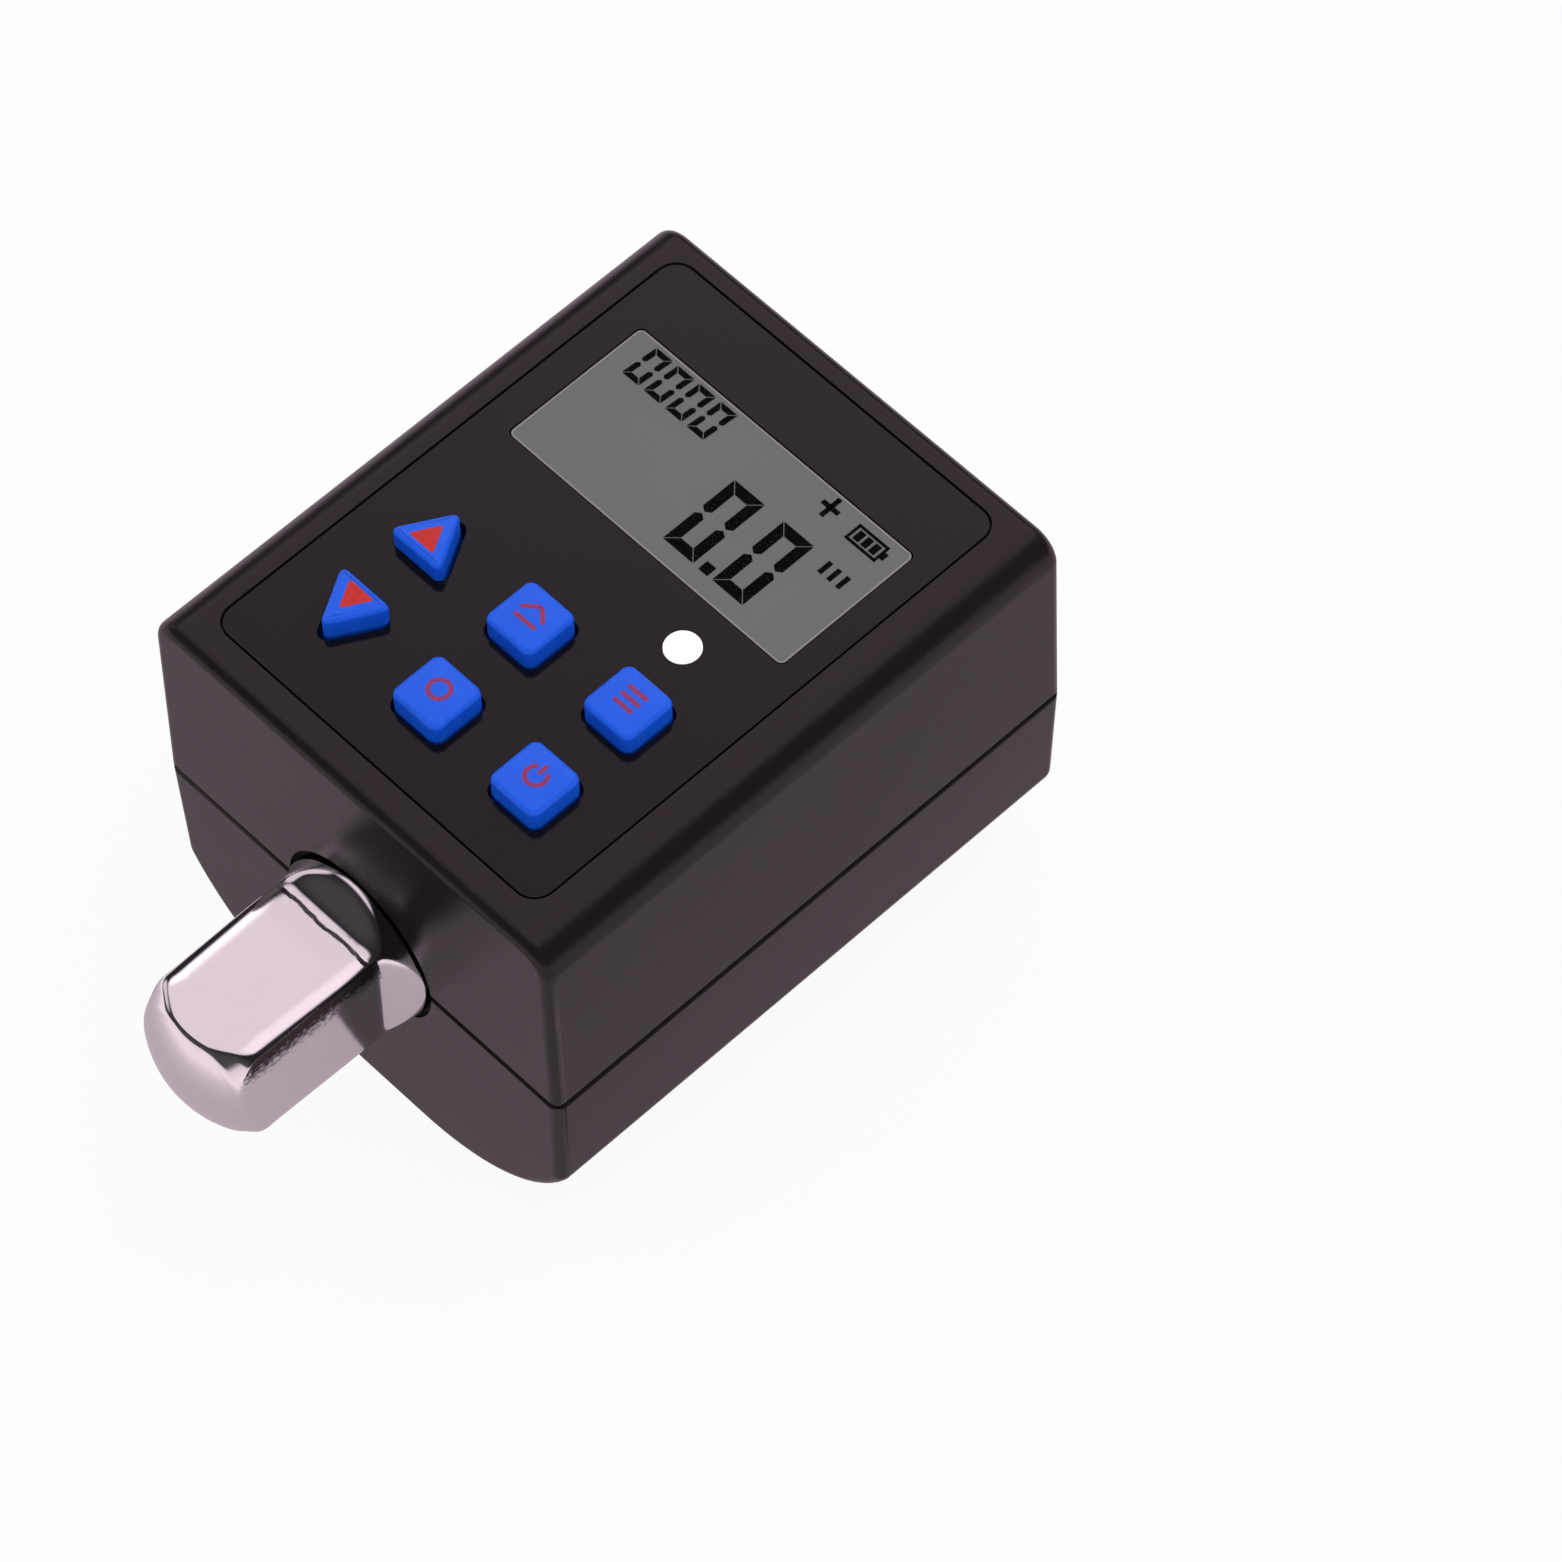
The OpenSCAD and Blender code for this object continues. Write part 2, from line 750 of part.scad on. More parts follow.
module battery_door() {
    color(case_black)
        place()
            difference() {
                intersection() {
                    end_rounded(false);
                    door_prism(0, door_near);
                }
                for (i = [0:door_grip_n - 1])
                    translate([0, door_grip_far - i * door_grip_pitch, -seam_to_bottom])
                        cube([2 * door_grip_half, door_grip_w, 2 * door_grip_depth], center = true);
            }
}

module face_panel() {
    color(panel_black)
        place()
            difference() {
                slab([-panel_left, panel_mid], panel_bed, panel_top)
                    rounded(panel_w, panel_l, panel_r);
                slab([-window_left, window_mid], panel_bed - over, seam_to_top + over)
                    rounded(window_w, window_l, window_r);
                key_wells(panel_bed - over, seam_to_top + over);
                translate([lamp_place[0], lamp_place[1], panel_bed - over])
                    cylinder(r = lamp_r + seat_gap / 2, h = panel_t + 2 * over);
            }
}

module window_lens() {
    color([0.75, 0.78, 0.8, 0.4])
        place()
            slab([-window_left, window_mid], lens_bottom, panel_top)
                rounded(window_w - 2 * seat_gap, window_l - 2 * seat_gap, window_r);
}

module display_glass() {
    color([0.46, 0.45, 0.46])
        place()
            slab([-window_left, window_mid], display_bottom, display_top)
                square([window_w - 2 * glass_gap, window_l - 2 * glass_gap], center = true);
}

module display_frame() {
    color("white")
        place()
            difference() {
                slab([-window_left, window_mid], board_top, ceiling - seat_gap)
                    rounded(window_w + 2 * frame_rim, window_l + 4 * frame_rim, window_r);
                slab([-window_left, window_mid], display_bottom - seat_gap / 2, ceiling + over)
                    rounded(window_w - glass_gap, window_l - glass_gap, window_r / 2);
                slab([-window_left, window_mid], board_top - over, ceiling)
                    square([strip_l, frame_inner_l], center = true);
                for (side = [-1, 1])
                    slab([-window_left, window_mid + side * strip_y], board_top - over, ceiling)
                        square([strip_l + 2 * seat_gap, strip_w + 2 * seat_gap], center = true);
            }
}

module contact_strips() {
    color([0.25, 0.25, 0.27])
        place()
            for (side = [-1, 1])
                slab([-window_left, window_mid + side * strip_y], board_top, display_bottom)
                    square([strip_l, strip_w], center = true);
}

module main_board() {
    color([0.05, 0.35, 0.2])
        place()
            difference() {
                slab([0, (board_near + board_far) / 2], board_bottom, board_top - seat_gap / 2)
                    rounded(2 * board_half, board_far - board_near, board_boss_r / 2);
                for (at = board_bosses)
                    translate([at[0], at[1], board_bottom - over])
                        cylinder(r = board_screw_r + seat_gap, h = board_t + 2 * over);
            }
}

// A chip under the board with legs along two sides
module chip(at, size) {
    translate([at[0], at[1], board_bottom - chip_t / 2]) {
        cube([size[0], size[1], chip_t], center = true);
        n = floor(size[1] / chip_leg_pitch);
        for (i = [0:n - 1])
            translate([0, (i - (n - 1) / 2) * chip_leg_pitch, chip_t / 2 - chip_leg_t / 2])
                cube([size[0] + 2 * chip_leg_reach, chip_leg_w, chip_leg_t], center = true);
    }
}

module board_chips() {
    color([0.1, 0.1, 0.11])
        place() {
            chip(processor_place, processor_size);
            chip(converter_place, converter_size);
            chip(regulator_place, regulator_size);
            slab(crystal_place, board_bottom - chip_t, board_bottom)
                rounded(crystal_size[0], crystal_size[1], crystal_size[0] / 3);
        }
}

module buzzer() {
    color([0.15, 0.15, 0.16])
        place()
            translate([buzzer_place[0], buzzer_place[1], board_bottom - buzzer_t])
                difference() {
                    cylinder(r = buzzer_r, h = buzzer_t);
                    translate([0, 0, -over])
                        cylinder(r = buzzer_vent_r, h = over + buzzer_t / 2);
                }
}

module indicator_lamp() {
    color("white")
        place()
            translate([lamp_place[0], lamp_place[1], 0])
                rotate_extrude()
                    polygon(concat(
                        [[0, board_top], [lamp_flange_r, board_top],
                         [lamp_flange_r, board_top + lamp_flange_t], [lamp_r, board_top + lamp_flange_t],
                         [lamp_r, panel_top]],
                        [[lamp_r * 2 / 3, panel_top + lamp_dome * 2 / 3], [0, panel_top + lamp_dome]]
                    ));
}

// One key: a cap with a rounded top, a flange under the ceiling and a stem
module key(at, shape) {
    top = seam_to_top + key_proud;
    color(key_blue)
        place()
            translate([at[0], at[1], 0]) {
                hull()
                    for (i = [0:edge_steps]) {
                        a = 90 * i / edge_steps;
                        z = i == 0 ? key_flange_top - slice : top - key_edge_r * (1 - sin(a)) - slice;
                        slab([0, 0], z, z + slice)
                            offset(delta = -key_edge_r * (1 - cos(a)))
                                key_outline(shape, 0);
                    }
                slab([0, 0], key_flange_bottom, key_flange_top)
                    key_outline(shape, key_flange_lip);
                translate([0, 0, pad_bottom + pad_t])
                    cylinder(r = pad_r, h = key_flange_top - pad_bottom - pad_t);
            }
}

module key_up() { key(up_place, "up"); }
module key_down() { key(down_place, "down"); }
module key_peak() { key(peak_place, "square"); }
module key_unit() { key(unit_place, "square"); }
module key_mode() { key(mode_place, "square"); }
module key_clear() { key(clear_place, "square"); }

// Carbon pad under a key that closes the contact on the board
module pad(at) {
    color([0.1, 0.1, 0.1])
        place()
            translate([at[0], at[1], pad_bottom])
                cylinder(r = pad_r, h = pad_t);
}

module pad_up() { pad(up_place); }
module pad_down() { pad(down_place); }
module pad_peak() { pad(peak_place); }
module pad_unit() { pad(unit_place); }
module pad_mode() { pad(mode_place); }
module pad_clear() { pad(clear_place); }

// Rubber mat on the board, open under each key for its dome
module keypad_mat() {
    color(mat_blue)
        place()
            difference() {
                slab([-keys_left, (row_near + row_far + arrow_back) / 2], board_top, board_top + mat_t)
                    rounded(2 * mat_half, key_pitch_y + arrow_back + 2 * mat_margin, board_boss_r / 2);
                for (at = key_places)
                    translate([at[0], at[1], board_top - over])
                        cylinder(r = dome_foot_r, h = mat_t + 2 * over);
            }
}

// Springy dome of the mat, which a key presses flat
module dome(at) {
    color(mat_blue)
        place()
            translate([at[0], at[1], 0])
                rotate_extrude()
                    polygon([
                        [dome_foot_r - dome_wall, board_top],
                        [dome_foot_r, board_top],
                        [dome_foot_r, board_top + mat_t],
                        [dome_top_r, key_flange_bottom - seat_gap / 2],
                        [dome_top_r - dome_wall, key_flange_bottom - seat_gap / 2],
                        [dome_foot_r - dome_wall, board_top + mat_t - dome_wall / 2]
                    ]);
}

module dome_up() { dome(up_place); }
module dome_down() { dome(down_place); }
module dome_peak() { dome(peak_place); }
module dome_unit() { dome(unit_place); }
module dome_mode() { dome(mode_place); }
module dome_clear() { dome(clear_place); }

// Wedge that takes a flat off the round blank and ramps out at the neck
module flat_cut() {
    arc_y = ramp_start - ramp_fillet * tan(ramp_turn / 2);
    far = blank_r + 2 * over;
    outline = concat(
        [[far, -drive_reach - over], [drive_half, -drive_reach - over]],
        arc(drive_half + ramp_fillet, arc_y, ramp_fillet, 180, 180 - ramp_turn, ramp_steps),
        [[drive_half + ramp_rise, ramp_end], [far, ramp_end]]
    );
    translate([0, 0, -far])
        linear_extrude(2 * far)
            polygon(outline);
}

module shaft_blank() {
    dome_turn = asin(tip_face_r / dome_r);
    tip = [for (i = [0:dome_steps])
        [dome_r * sin(dome_turn * i / dome_steps),
         dome_r * (1 - cos(dome_turn * i / dome_steps)) - drive_reach]];
    near_fillet = arc(waist_r + waist_fillet, waist_near + waist_fillet, waist_fillet, 270, 180, waist_steps);
    far_fillet = arc(waist_r + waist_fillet, waist_far, waist_fillet, 180, 90, waist_steps);
    near_end = [for (p = near_fillet) if (p[0] < neck_r) p];
    turned(concat(
        tip,
        [[tip_r, taper_y], [neck_r, taper_y + taper_l],
         [neck_r, ring_near], [ring_groove_r, ring_near],
         [ring_groove_r, ring_near + ring_t + seat_gap], [neck_r, ring_near + ring_t + seat_gap],
         [neck_r, near_end[0][1]]],
        near_end,
        far_fillet,
        [[hub_r - hub_chamfer, hub_near], [hub_r, hub_near + hub_chamfer],
         [hub_r, hub_mouth - hub_chamfer], [hub_r - hub_chamfer, hub_mouth], [0, hub_mouth]]
    ));
}

// Square socket with its lead-in, pilot bore and the groove that a ball catches in
module socket_cut() {
    along_y(hub_mouth - socket_depth, hub_mouth + over)
        rounded(socket_af, socket_af, socket_corner_r);
    disc_y(pilot_r, hub_mouth - socket_depth - pilot_extra, hub_mouth - socket_depth + over);
    disc_y(catch_r, hub_mouth - catch_depth - catch_w / 2, hub_mouth - catch_depth + catch_w / 2);
    turned([
        [0, hub_mouth - socket_lead - over], [socket_half, hub_mouth - socket_lead - over],
        [socket_lead_r - socket_lead, hub_mouth - socket_lead], [socket_lead_r, hub_mouth],
        [socket_lead_r, hub_mouth + over], [0, hub_mouth + over]
    ]);
}

module torque_shaft() {
    color(chrome_grey)
        place()
            difference() {
                shaft_blank();
                for (i = [0:3])
                    rotate([0, 90 * i, 0])
                        flat_cut();
                socket_cut();
                for (side = [-1, 1])
                    translate([0, gauge_flat_mid, side * (gauge_flat_z + waist_r)])
                        cube([2 * waist_r, gauge_flat_l, 2 * waist_r], center = true);
                translate([0, pin_y, -hub_r - over])
                    cylinder(r = pin_r + running_fit, h = pin_depth + over);
                translate([0, ball_y, -drive_half])
                    rotate_extrude()
                        polygon([
                            [0, -over], [ball_mouth_r, -over], [ball_mouth_r, 0],
                            [ball_bore_r, ball_lip], [ball_bore_r, drive_half + ball_bore_end],
                            [0, drive_half + ball_bore_end + ball_bore_r / 2]
                        ]);
            }
}

module front_bush() {
    color([0.85, 0.84, 0.8])
        place()
            difference() {
                disc_y(bush_out_r, bush_near, bush_far);
                disc_y(bush_r, bush_near - over, bush_far + over);
            }
}

module rear_bush() {
    color([0.85, 0.84, 0.8])
        place()
            difference() {
                disc_y(rear_bush_out_r, rear_bush_near, rear_bush_far);
                disc_y(rear_bush_r, rear_bush_near - over, rear_bush_far + over);
            }
}

module retaining_ring() {
    reach = 2 * ring_out_r;
    color([0.35, 0.35, 0.37])
        place()
            difference() {
                disc_y(ring_out_r, ring_near + seat_gap / 2, ring_near + ring_t);
                disc_y(ring_groove_r + running_fit, ring_near - over, ring_near + ring_t + over);
                along_y(ring_near - over, ring_near + ring_t + over)
                    polygon([
                        [0, 0],
                        [reach * sin(ring_opening), -reach],
                        [-reach * sin(ring_opening), -reach]
                    ]);
            }
}

module locating_pin() {
    bottom = -hub_r - pin_seat + seat_gap;
    top = pin_depth - hub_r - seat_gap;
    color([0.6, 0.6, 0.62])
        place()
            translate([0, pin_y, 0])
                rotate_extrude()
                    polygon([
                        [0, bottom], [pin_r - pin_chamfer, bottom], [pin_r, bottom + pin_chamfer],
                        [pin_r, top - pin_chamfer], [pin_r - pin_chamfer, top], [0, top]
                    ]);
}

module strain_gauges() {
    color([0.8, 0.6, 0.3])
        place()
            for (side = [-1, 1])
                translate([0, gauge_flat_mid, side * (gauge_flat_z + gauge_t / 2)])
                    cube([gauge_size[0], gauge_size[1], gauge_t], center = true);
}

// Wires from the upper gauge: a lead over the foil, a bend and a rise to the board
module gauge_wires() {
    color([0.8, 0.2, 0.15])
        place()
            for (i = [0:wire_n - 1])
                translate([(i - (wire_n - 1) / 2) * wire_pitch, 0, 0]) {
                    translate([0, gauge_flat_mid, wire_z + gauge_t])
                        rotate([-90, 0, 0])
                            cylinder(r = wire_r, h = wire_foot_y - gauge_flat_mid);
                    translate([0, wire_foot_y, wire_z + gauge_t + wire_bend])
                        rotate([0, 90, 0])
                            rotate_extrude(angle = 90)
                                translate([wire_bend, 0])
                                    circle(r = wire_r);
                    translate([0, wire_foot_y + wire_bend, wire_z + gauge_t + wire_bend])
                        cylinder(r = wire_r, h = board_bottom - seat_gap - wire_z - gauge_t - wire_bend);
                }
}

module detent_ball() {
    color(chrome_grey)
        place()
            translate([0, ball_y, ball_z])
                sphere(r = ball_r);
}

// Round wire wound in a helix about Z
module coil(r, wire, length, turns) {
    sides = 6;
    steps = 12;
    n = turns * steps;
    rings = [for (i = [0:n]) for (j = [0:sides - 1])
        let (a = 360 * i / steps, b = 360 * j / sides, d = r + wire * cos(b))
            [d * cos(a), d * sin(a), length * i / n + wire * sin(b)]];
    skin = [for (i = [0:n - 1]) for (j = [0:sides - 1])
        let (k = (j + 1) % sides) each [
            [i * sides + j, (i + 1) * sides + j, (i + 1) * sides + k],
            [i * sides + j, (i + 1) * sides + k, i * sides + k]
        ]];
    first = [[for (j = [0:sides - 1]) j]];
    last = [[for (j = [sides - 1:-1:0]) n * sides + j]];
    polyhedron(points = rings, faces = concat(skin, first, last));
}

module detent_spring() {
    color([0.6, 0.6, 0.62])
        place()
            translate([0, ball_y, detent_foot])
                coil(detent_coil_r, detent_wire_r,
                     ball_bore_end - detent_wire_r - seat_gap - detent_foot, detent_turns);
}

// One cell: a can and its nub, along the shaft
module cell(x, near, nub_to_rear) {
    translate([x, nub_to_rear ? near : near + cell_l, cell_z])
        rotate([nub_to_rear ? -90 : 90, 0, 0])
            rotate_extrude()
                polygon([
                    [0, 0], [cell_r - cell_cap_t, 0], [cell_r, cell_cap_t],
                    [cell_r, cell_l - cell_nub_l - cell_cap_t],
                    [cell_r - cell_cap_t, cell_l - cell_nub_l],
                    [cell_nub_r, cell_l - cell_nub_l], [cell_nub_r, cell_l], [0, cell_l]
                ]);
}

module battery_cells() {
    color([0.75, 0.62, 0.25])
        place() {
            cell(-cell_x, cell_a_near, false);
            cell(cell_x, cell_b_near, true);
        }
}

// Contact plates: one for each cell in front, and a link across both behind
module contact_plates() {
    thin = plate_t - 2 * plate_gap;
    color([0.8, 0.78, 0.7])
        place() {
            for (side = [-1, 1]) {
                translate([side * cell_x, plate_near + plate_t / 2, (plate_bottom + plate_top) / 2])
                    cube([2 * plate_half, thin, plate_top - plate_bottom], center = true);
                translate([side * tab_x, plate_near + plate_t / 2, (cell_z + tab_top) / 2])
                    cube([tab_w, thin, tab_top - cell_z], center = true);
            }
            translate([0, plate_far - plate_t / 2, (plate_bottom + link_top) / 2])
                cube([2 * (cell_x + plate_half), thin, link_top - plate_bottom], center = true);
        }
}

module contact_springs() {
    color([0.8, 0.78, 0.7])
        place() {
            translate([cell_x, plate_near + plate_t + plate_gap + coil_wire_r, cell_z])
                rotate([-90, 0, 0])
                    coil(coil_r, coil_wire_r, spring_l - 2 * coil_wire_r, coil_turns);
            translate([-cell_x, plate_far - plate_t - plate_gap - coil_wire_r, cell_z])
                rotate([90, 0, 0])
                    coil(coil_r, coil_wire_r, spring_l - 2 * coil_wire_r, coil_turns);
        }
}

module battery_wires() {
    color([0.75, 0.1, 0.1])
        place()
            for (side = [-1, 1])
                translate([side * tab_x, battery_wire_y, shelf_top + seat_gap])
                    cylinder(r = battery_wire_r, h = board_bottom - shelf_top - 2 * seat_gap);
}

// A screw with its head down, its seat at the origin and its shank along +Z
module screw(r, length, head_r, head_t, slot_w, slot_depth) {
    difference() {
        union() {
            cylinder(r = r, h = length);
            translate([0, 0, -head_t])
                cylinder(r = head_r, h = head_t);
        }
        for (turn = [0, 90])
            rotate(turn)
                translate([0, 0, -head_t])
                    cube([head_r * 1.3, slot_w, 2 * slot_depth], center = true);
    }
}

module case_screws() {
    color([0.5, 0.5, 0.52])
        place()
            for (at = post_places)
                translate([at[0], at[1], screw_seat])
                    screw(screw_r, screw_reach - screw_seat, screw_head_r, screw_head_t,
                          screw_slot_w, screw_slot_depth);
}

module board_screws() {
    color([0.5, 0.5, 0.52])
        place()
            for (at = board_bosses)
                translate([at[0], at[1], board_bottom])
                    screw(board_screw_r, board_screw_l, board_head_r, board_head_t,
                          board_slot_w, board_head_t / 2);
}

upper_case();
lower_case();
battery_door();
face_panel();
window_lens();
display_glass();
display_frame();
contact_strips();
main_board();
board_chips();
buzzer();
indicator_lamp();
keypad_mat();
dome_up();
dome_down();
dome_peak();
dome_unit();
dome_mode();
dome_clear();
key_up();
key_down();
key_peak();
key_unit();
key_mode();
key_clear();
pad_up();
pad_down();
pad_peak();
pad_unit();
pad_mode();
pad_clear();
torque_shaft();
front_bush();
rear_bush();
retaining_ring();
locating_pin();
strain_gauges();
gauge_wires();
detent_ball();
detent_spring();
battery_cells();
contact_plates();
contact_springs();
battery_wires();
case_screws();
board_screws();
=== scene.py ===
"""Dresses a packed digital torque adapter and sets it in a pale studio."""

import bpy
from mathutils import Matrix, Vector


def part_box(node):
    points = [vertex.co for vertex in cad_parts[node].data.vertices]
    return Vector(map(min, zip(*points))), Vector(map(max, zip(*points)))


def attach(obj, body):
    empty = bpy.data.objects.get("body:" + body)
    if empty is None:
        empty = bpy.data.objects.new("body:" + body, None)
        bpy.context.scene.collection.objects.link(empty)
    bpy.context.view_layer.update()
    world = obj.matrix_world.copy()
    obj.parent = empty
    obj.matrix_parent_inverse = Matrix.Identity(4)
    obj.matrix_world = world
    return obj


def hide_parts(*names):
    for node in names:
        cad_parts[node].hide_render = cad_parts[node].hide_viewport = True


bl_info = {
    "name": "Digital torque adapter",
    "version": (1, 0, 0),
    "blender": (4, 5, 0),
    "location": "3D View > Sidebar > Torque adapter",
    "description": "Keys, display, drive square, finishes and studio of a digital torque adapter",
    "category": "Object",
}

from math import atan2, cos, hypot, pi, radians, sin, sqrt, tan

import bmesh
import bpy
from bpy.props import FloatProperty, FloatVectorProperty, IntProperty, PointerProperty
from mathutils import Matrix, Vector

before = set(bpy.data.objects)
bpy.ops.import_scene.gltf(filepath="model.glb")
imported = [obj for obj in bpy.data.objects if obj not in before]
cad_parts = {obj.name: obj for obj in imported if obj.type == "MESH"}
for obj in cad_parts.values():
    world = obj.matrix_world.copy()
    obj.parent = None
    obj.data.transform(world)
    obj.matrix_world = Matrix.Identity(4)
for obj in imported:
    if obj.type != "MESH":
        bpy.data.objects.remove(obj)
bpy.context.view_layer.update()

MM = 0.001
WELD = 0.0005 * MM
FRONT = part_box("lower_case")[0].y
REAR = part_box("lower_case")[1].y
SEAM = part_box("upper_case")[0].z
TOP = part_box("upper_case")[1].z
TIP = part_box("torque_shaft")[0].y
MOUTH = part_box("torque_shaft")[1].y
PARTING = FRONT + 4 * MM
ARROWS = {"up": 1, "down": -1}
KEYS = (*ARROWS, "peak", "unit", "mode", "clear")


# Shader expressions

def sum_of(operation):
    """A method that sends its value and the others to one maths node."""
    def method(self, *others):
        return self.finish.math(operation, self, *others)
    return method


class Value:
    """A shader socket that takes part in sums with numbers and other sockets."""

    def __init__(self, finish, socket):
        self.finish = finish
        self.socket = socket

    def __rsub__(self, other):
        return self.finish.math("SUBTRACT", other, self)

    __add__ = __radd__ = sum_of("ADD")
    __sub__ = sum_of("SUBTRACT")
    __mul__ = __rmul__ = sum_of("MULTIPLY")
    __truediv__ = sum_of("DIVIDE")
    __mod__ = sum_of("FLOORED_MODULO")
    __gt__ = sum_of("GREATER_THAN")
    __lt__ = sum_of("LESS_THAN")
    __abs__ = sum_of("ABSOLUTE")
    power = sum_of("POWER")


class Finish:
    """A node tree with one way to add a node, and sums written as Python."""

    def __init__(self, owner):
        self.owner = owner
        owner.use_nodes = True
        self.nodes = owner.node_tree.nodes
        self.links = owner.node_tree.links

    def feed(self, socket, value):
        if isinstance(value, Value):
            self.links.new(value.socket, socket)
        elif hasattr(socket.default_value, "__len__") and len(value) == 3 and len(socket.default_value) == 4:
            socket.default_value = (*value, 1)
        else:
            socket.default_value = value

    def node(self, kind, sockets=None, settings=None, output=0):
        made = self.nodes.new("ShaderNode" + kind)
        for name, value in (settings or {}).items():
            setattr(made, name, value)
        for name, value in (sockets or {}).items():
            self.feed(made.inputs[name], value)
        return Value(self, made.outputs[output]) if made.outputs else None

    def math(self, operation, *values):
        return self.node("Math", dict(enumerate(values)), {"operation": operation})

    def blend(self, factor, first, second):
        """First colour where the factor is 0, second where it is 1."""
        return self.node("Mix", {0: factor, 6: first, 7: second}, {"data_type": "RGBA"}, output=2)

    def soft_step(self, value, start, end):
        """Rises from 0 at the start to 1 at the end."""
        return self.node("MapRange", {"Value": value, "From Min": start, "From Max": end},
                         {"interpolation_type": "SMOOTHSTEP"})


class Surface(Finish):
    """A material made from one principled shader."""

    def __init__(self, name, **constants):
        super().__init__(bpy.data.materials.new(name))
        self.shader = self.nodes["Principled BSDF"]
        self.place = self.node("TexCoord", output=3)
        for socket, value in constants.items():
            self.wear(socket, value)

    def wear(self, socket, value):
        self.feed(self.shader.inputs[socket.replace("_", " ")], value)

    def axis(self, index):
        return self.node("SeparateXYZ", {0: self.place}, output=index)

    def noise(self, size, detail):
        """Cloudy noise whose spots are about this size in metres."""
        return self.node("TexNoise", {"Vector": self.place, "Scale": 1 / size, "Detail": detail})

    def stretched_noise(self, size, stretch, detail):
        """Noise that is drawn out along the axes with a small stretch."""
        pulled = self.node("Mapping", {"Vector": self.place, "Scale": stretch})
        return self.node("TexNoise", {"Vector": pulled, "Scale": 1 / size, "Detail": detail})

    def bump(self, height, distance):
        self.wear("Normal", self.node("Bump", {"Height": height, "Distance": distance}))

    def paint(self, spots, first, second):
        """First base colour where the spots are 0, second where they are 1."""
        self.wear("Base Color", self.blend(spots, first, second))

    def roughen(self, level, *swings):
        """Roughness that each noise swings about its level."""
        for swing, spots in swings:
            level = level + swing * (spots - 0.5)
        self.wear("Roughness", level)


def shades(colour, share):
    """A darker share of a colour, and the colour."""
    return tuple(share * c for c in colour), colour


def case_plastic(settings):
    """Moulded satin plastic with a fine grain and faint flow marks."""
    surface = Surface("case plastic", IOR=1.46, Specular_IOR_Level=0.22)
    flow = surface.noise(14 * MM, 3)
    grain = surface.noise(0.16 * MM, 2)
    pores = surface.noise(0.6 * MM, 3)
    surface.paint(flow, *shades(settings.colour, 0.8))
    surface.roughen(settings.roughness, (0.08, flow), (0.05, pores))
    surface.bump(grain * 0.6 + pores * 0.4, settings.grain)
    return surface.owner


def panel_film(settings):
    """Smooth dark film, a little glossier than the case."""
    surface = Surface("panel film", IOR=1.42, Specular_IOR_Level=0.26)
    drift = surface.noise(22 * MM, 2)
    weave = surface.noise(0.3 * MM, 2)
    pale = tuple(1.25 * c for c in settings.panel_colour)
    surface.paint(drift, settings.panel_colour, pale)
    surface.roughen(settings.panel_roughness, (0.06, drift))
    surface.bump(weave, 0.004 * MM)
    return surface.owner


def key_plastic(colour):
    """Clear blue plastic, milky inside, with soft wear on its faces."""
    surface = Surface("key plastic", IOR=1.45, Specular_IOR_Level=0.35, Subsurface_Weight=0.25,
                      Subsurface_Scale=0.6 * MM)
    surface.wear("Subsurface Radius", (0.3, 0.5, 1.0))
    cloud = surface.noise(2.4 * MM, 3)
    handling = surface.noise(0.35 * MM, 3)
    surface.paint(cloud, *shades(colour, 0.82))
    surface.roughen(0.34, (0.12, handling), (0.06, cloud))
    surface.bump(handling, 0.012 * MM)
    return surface.owner


def key_print(name, colour, cover):
    """Ink that lets some of the blue through."""
    surface = Surface(name, IOR=1.45)
    patch = surface.noise(0.5 * MM, 3)
    surface.paint(patch, *shades(colour, 0.75))
    surface.roughen(0.42, (0.15, patch))
    surface.wear("Alpha", cover + 0.4 * (patch - 0.5))
    surface.bump(patch, 0.006 * MM)
    return surface.owner


def display_face(colour):
    """Grey display under its polariser, with a faint fall-off across it."""
    surface = Surface("display face", IOR=1.3, Specular_IOR_Level=0.3)
    drift = surface.noise(16 * MM, 1)
    fine = surface.noise(0.12 * MM, 2)
    surface.paint(drift, *shades(colour, 0.93))
    surface.roughen(0.45, (0.1, fine))
    surface.bump(fine, 0.002 * MM)
    return surface.owner


def flat_ink(name, size, first, second, roughness, **constants):
    """Ink that drifts between two near tones, in spots of about this size."""
    surface = Surface(name, **constants)
    drift = surface.noise(size, 2)
    surface.paint(drift, first, second)
    surface.roughen(roughness, (0.1, drift))
    return surface.owner


def clear_lens():
    """Thin clear window that only its gloss shows."""
    surface = Surface("clear lens", IOR=1.45)
    haze = surface.noise(9 * MM, 2)
    surface.wear("Base Color", (0.01, 0.01, 0.01))
    surface.roughen(0.12, (0.05, haze))
    surface.wear("Alpha", 0.04 + 0.03 * haze)
    return surface.owner


def lamp_white():
    """Milky lamp, lit from inside."""
    surface = Surface("lamp white", IOR=1.45, Emission_Strength=0.55)
    milk = surface.noise(0.7 * MM, 2)
    surface.paint(milk, (0.86, 0.87, 0.88), (0.95, 0.95, 0.95))
    surface.wear("Emission Color", surface.blend(milk, (0.9, 0.92, 0.95), (1, 1, 1)))
    surface.roughen(0.2, (0.1, milk))
    return surface.owner


